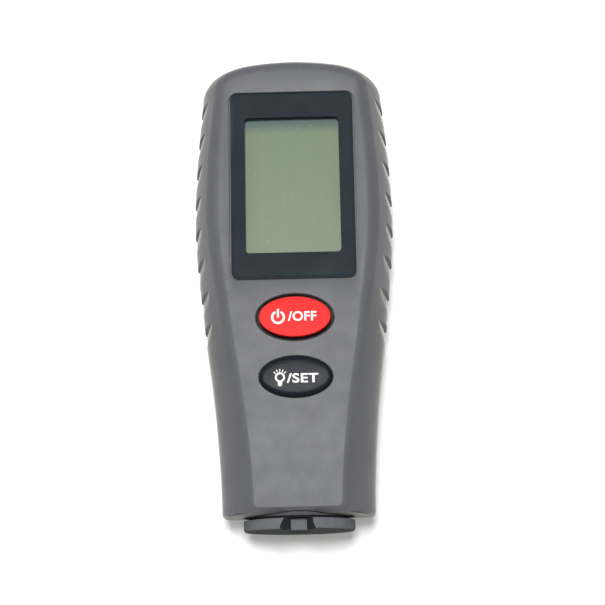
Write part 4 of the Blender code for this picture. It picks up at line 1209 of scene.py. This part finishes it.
def wound_finish(name, colour, pitch, depth):
    """Enamelled wire in turns across Y: a wave for the turns, and a tone that differs from turn to turn."""
    made, place, shader = new_finish(name, 0.35, 1.0)
    turns = place.node("ShaderNodeTexWave", {"Vector": place, "Scale": 0.05 / pitch}, 1, bands_direction="Y")
    tone = place.noise(0.7 * mm, 2.0)
    feed(shader, "Base Color", tone.mix(rgba(colour), rgba(tuple(0.8 * value for value in colour))))
    feed(shader, "Roughness", 0.3 + 0.15 * tone)
    bump(place, shader, turns, depth)
    return made


def refinished(finish, *names):
    """Puts a finish on solids that are kept, in their own material slots."""
    for name in names:
        solid = frame["nodes"][name]
        for held in solid.material_slots:
            held.material = finish
        if not solid.material_slots:
            solid.data.materials.append(finish)
    print(finish.name, "on", len(names), "solids")


board_finish = moulded("board_green", (22, 92, 52), 0.42, 0.6, 0.01, 0.12)
nickel_finish = moulded("nickel", (205, 201, 190), 0.28, 0.35, 0.003, 0.04, metallic=1.0)
wire_finish = moulded("spring_steel", (178, 180, 182), 0.3, 0.12, 0.003, metallic=1.0)
screw_finish = moulded("screw_steel", (92, 92, 94), 0.36, 0.2, 0.005, 0.08, metallic=1.0)
cell_finish = moulded("cell_skin", (66, 72, 80), 0.3, 1.2, 0.004, 0.06)
lead_finish = moulded("lead_skin", (176, 32, 28), 0.45, 0.5, 0.004)
contact_names = ("negative_spring", "bridge_spring", "positive_contact", "negative_contact", "bridge_contact")
probe_holds = ("probe_guide", "probe_holder", "probe_bobbin")
refinished(display_finish(), "lcd_panel")
refinished(white_finish, "lcd_backlight", "lcd_frame", "power_plunger", "unit_plunger")
refinished(rubber_finish, "lcd_connector")
refinished(black_finish, "power_switch", "unit_switch", "main_chip", *probe_holds)
refinished(board_finish, "circuit_board")
refinished(nickel_finish, *contact_names, "probe_core")
refinished(wire_finish, "retaining_ring")
spring_piece.material_slots[0].material = wire_finish
refinished(screw_finish, *screw_nodes, "board_screw_left", "board_screw_right")
refinished(cell_finish, "battery_cell_left", "battery_cell_right")
refinished(lead_finish, "probe_lead_left", "probe_lead_right")
refinished(wound_finish("copper", (201, 122, 74), 0.2 * mm, 0.05 * mm), "probe_coil")

# %% [markdown]
# ## The floor and the light
# The photograph is a plain studio shot: one small lamp almost overhead, a weak one far at the left, pale
# surroundings and a white ground with a faint shadow. A wide lamp would light the whole side evenly and lose
# the edges, and more light would burn the pale parts. So the lamps are small and the surround is quiet. The
# ground is white to the camera by its own colour, still takes the shadow, and throws light back up.

# %% Floor and lamps
ground_half = 3.0
ground_mesh = bpy.data.meshes.new("ground")
signs = ((-1, -1), (1, -1), (1, 1), (-1, 1))
ground_mesh.from_pydata([(ground_half * x, ground_half * y, 0.0) for x, y in signs], [], [(0, 1, 2, 3)])
ground_finish, ground_place, ground_shader = new_finish("ground", 0.9)
seen = ground_place.node("ShaderNodeLightPath")
for kind in ("Is Glossy Ray", "Is Transmission Ray"):
    seen = seen.sum("MAXIMUM", ground_place.node("ShaderNodeLightPath", output=kind))
feed(ground_shader, "Base Color", seen.mix((0.95, 0.94, 0.87, 1.0), (1.0, 1.0, 1.0, 1.0)))
feed(ground_shader, "Emission Color", seen.mix((0.0, 0.0, 0.0, 1.0), (0.2, 0.2, 0.195, 1.0)))
ground_shader.inputs["Emission Strength"].default_value = 1.0
ground_mesh.materials.append(ground_finish)
ground = placed("ground", ground_mesh)

world = bpy.data.worlds.new("surround")
world.use_nodes = True
background = world.node_tree.nodes["Background"]
background.inputs["Color"].default_value = (1.0, 1.0, 1.0, 1.0)
background.inputs["Strength"].default_value = 0.22
bpy.context.scene.world = world
bpy.context.scene.view_settings.view_transform = "Standard"


def lamp(name, place, size, watts, aimed_at=(0.0, 0.0, 0.01)):
    """A square soft lamp that faces a point."""
    light = bpy.data.lights.new(name, "AREA")
    light.size, light.energy = size, watts
    held = placed(name, light)
    held.location = place
    held.rotation_mode = "QUATERNION"
    held.rotation_quaternion = (Vector(aimed_at) - Vector(place)).to_track_quat("-Z", "Y")


lamp("lamp_above", (-0.01, 0.033, 0.65), 0.12, 3.55)
lamp("lamp_left", (-0.5, 0.28, 0.5), 0.02, 0.3)
print("lamps:", len(bpy.data.lights))
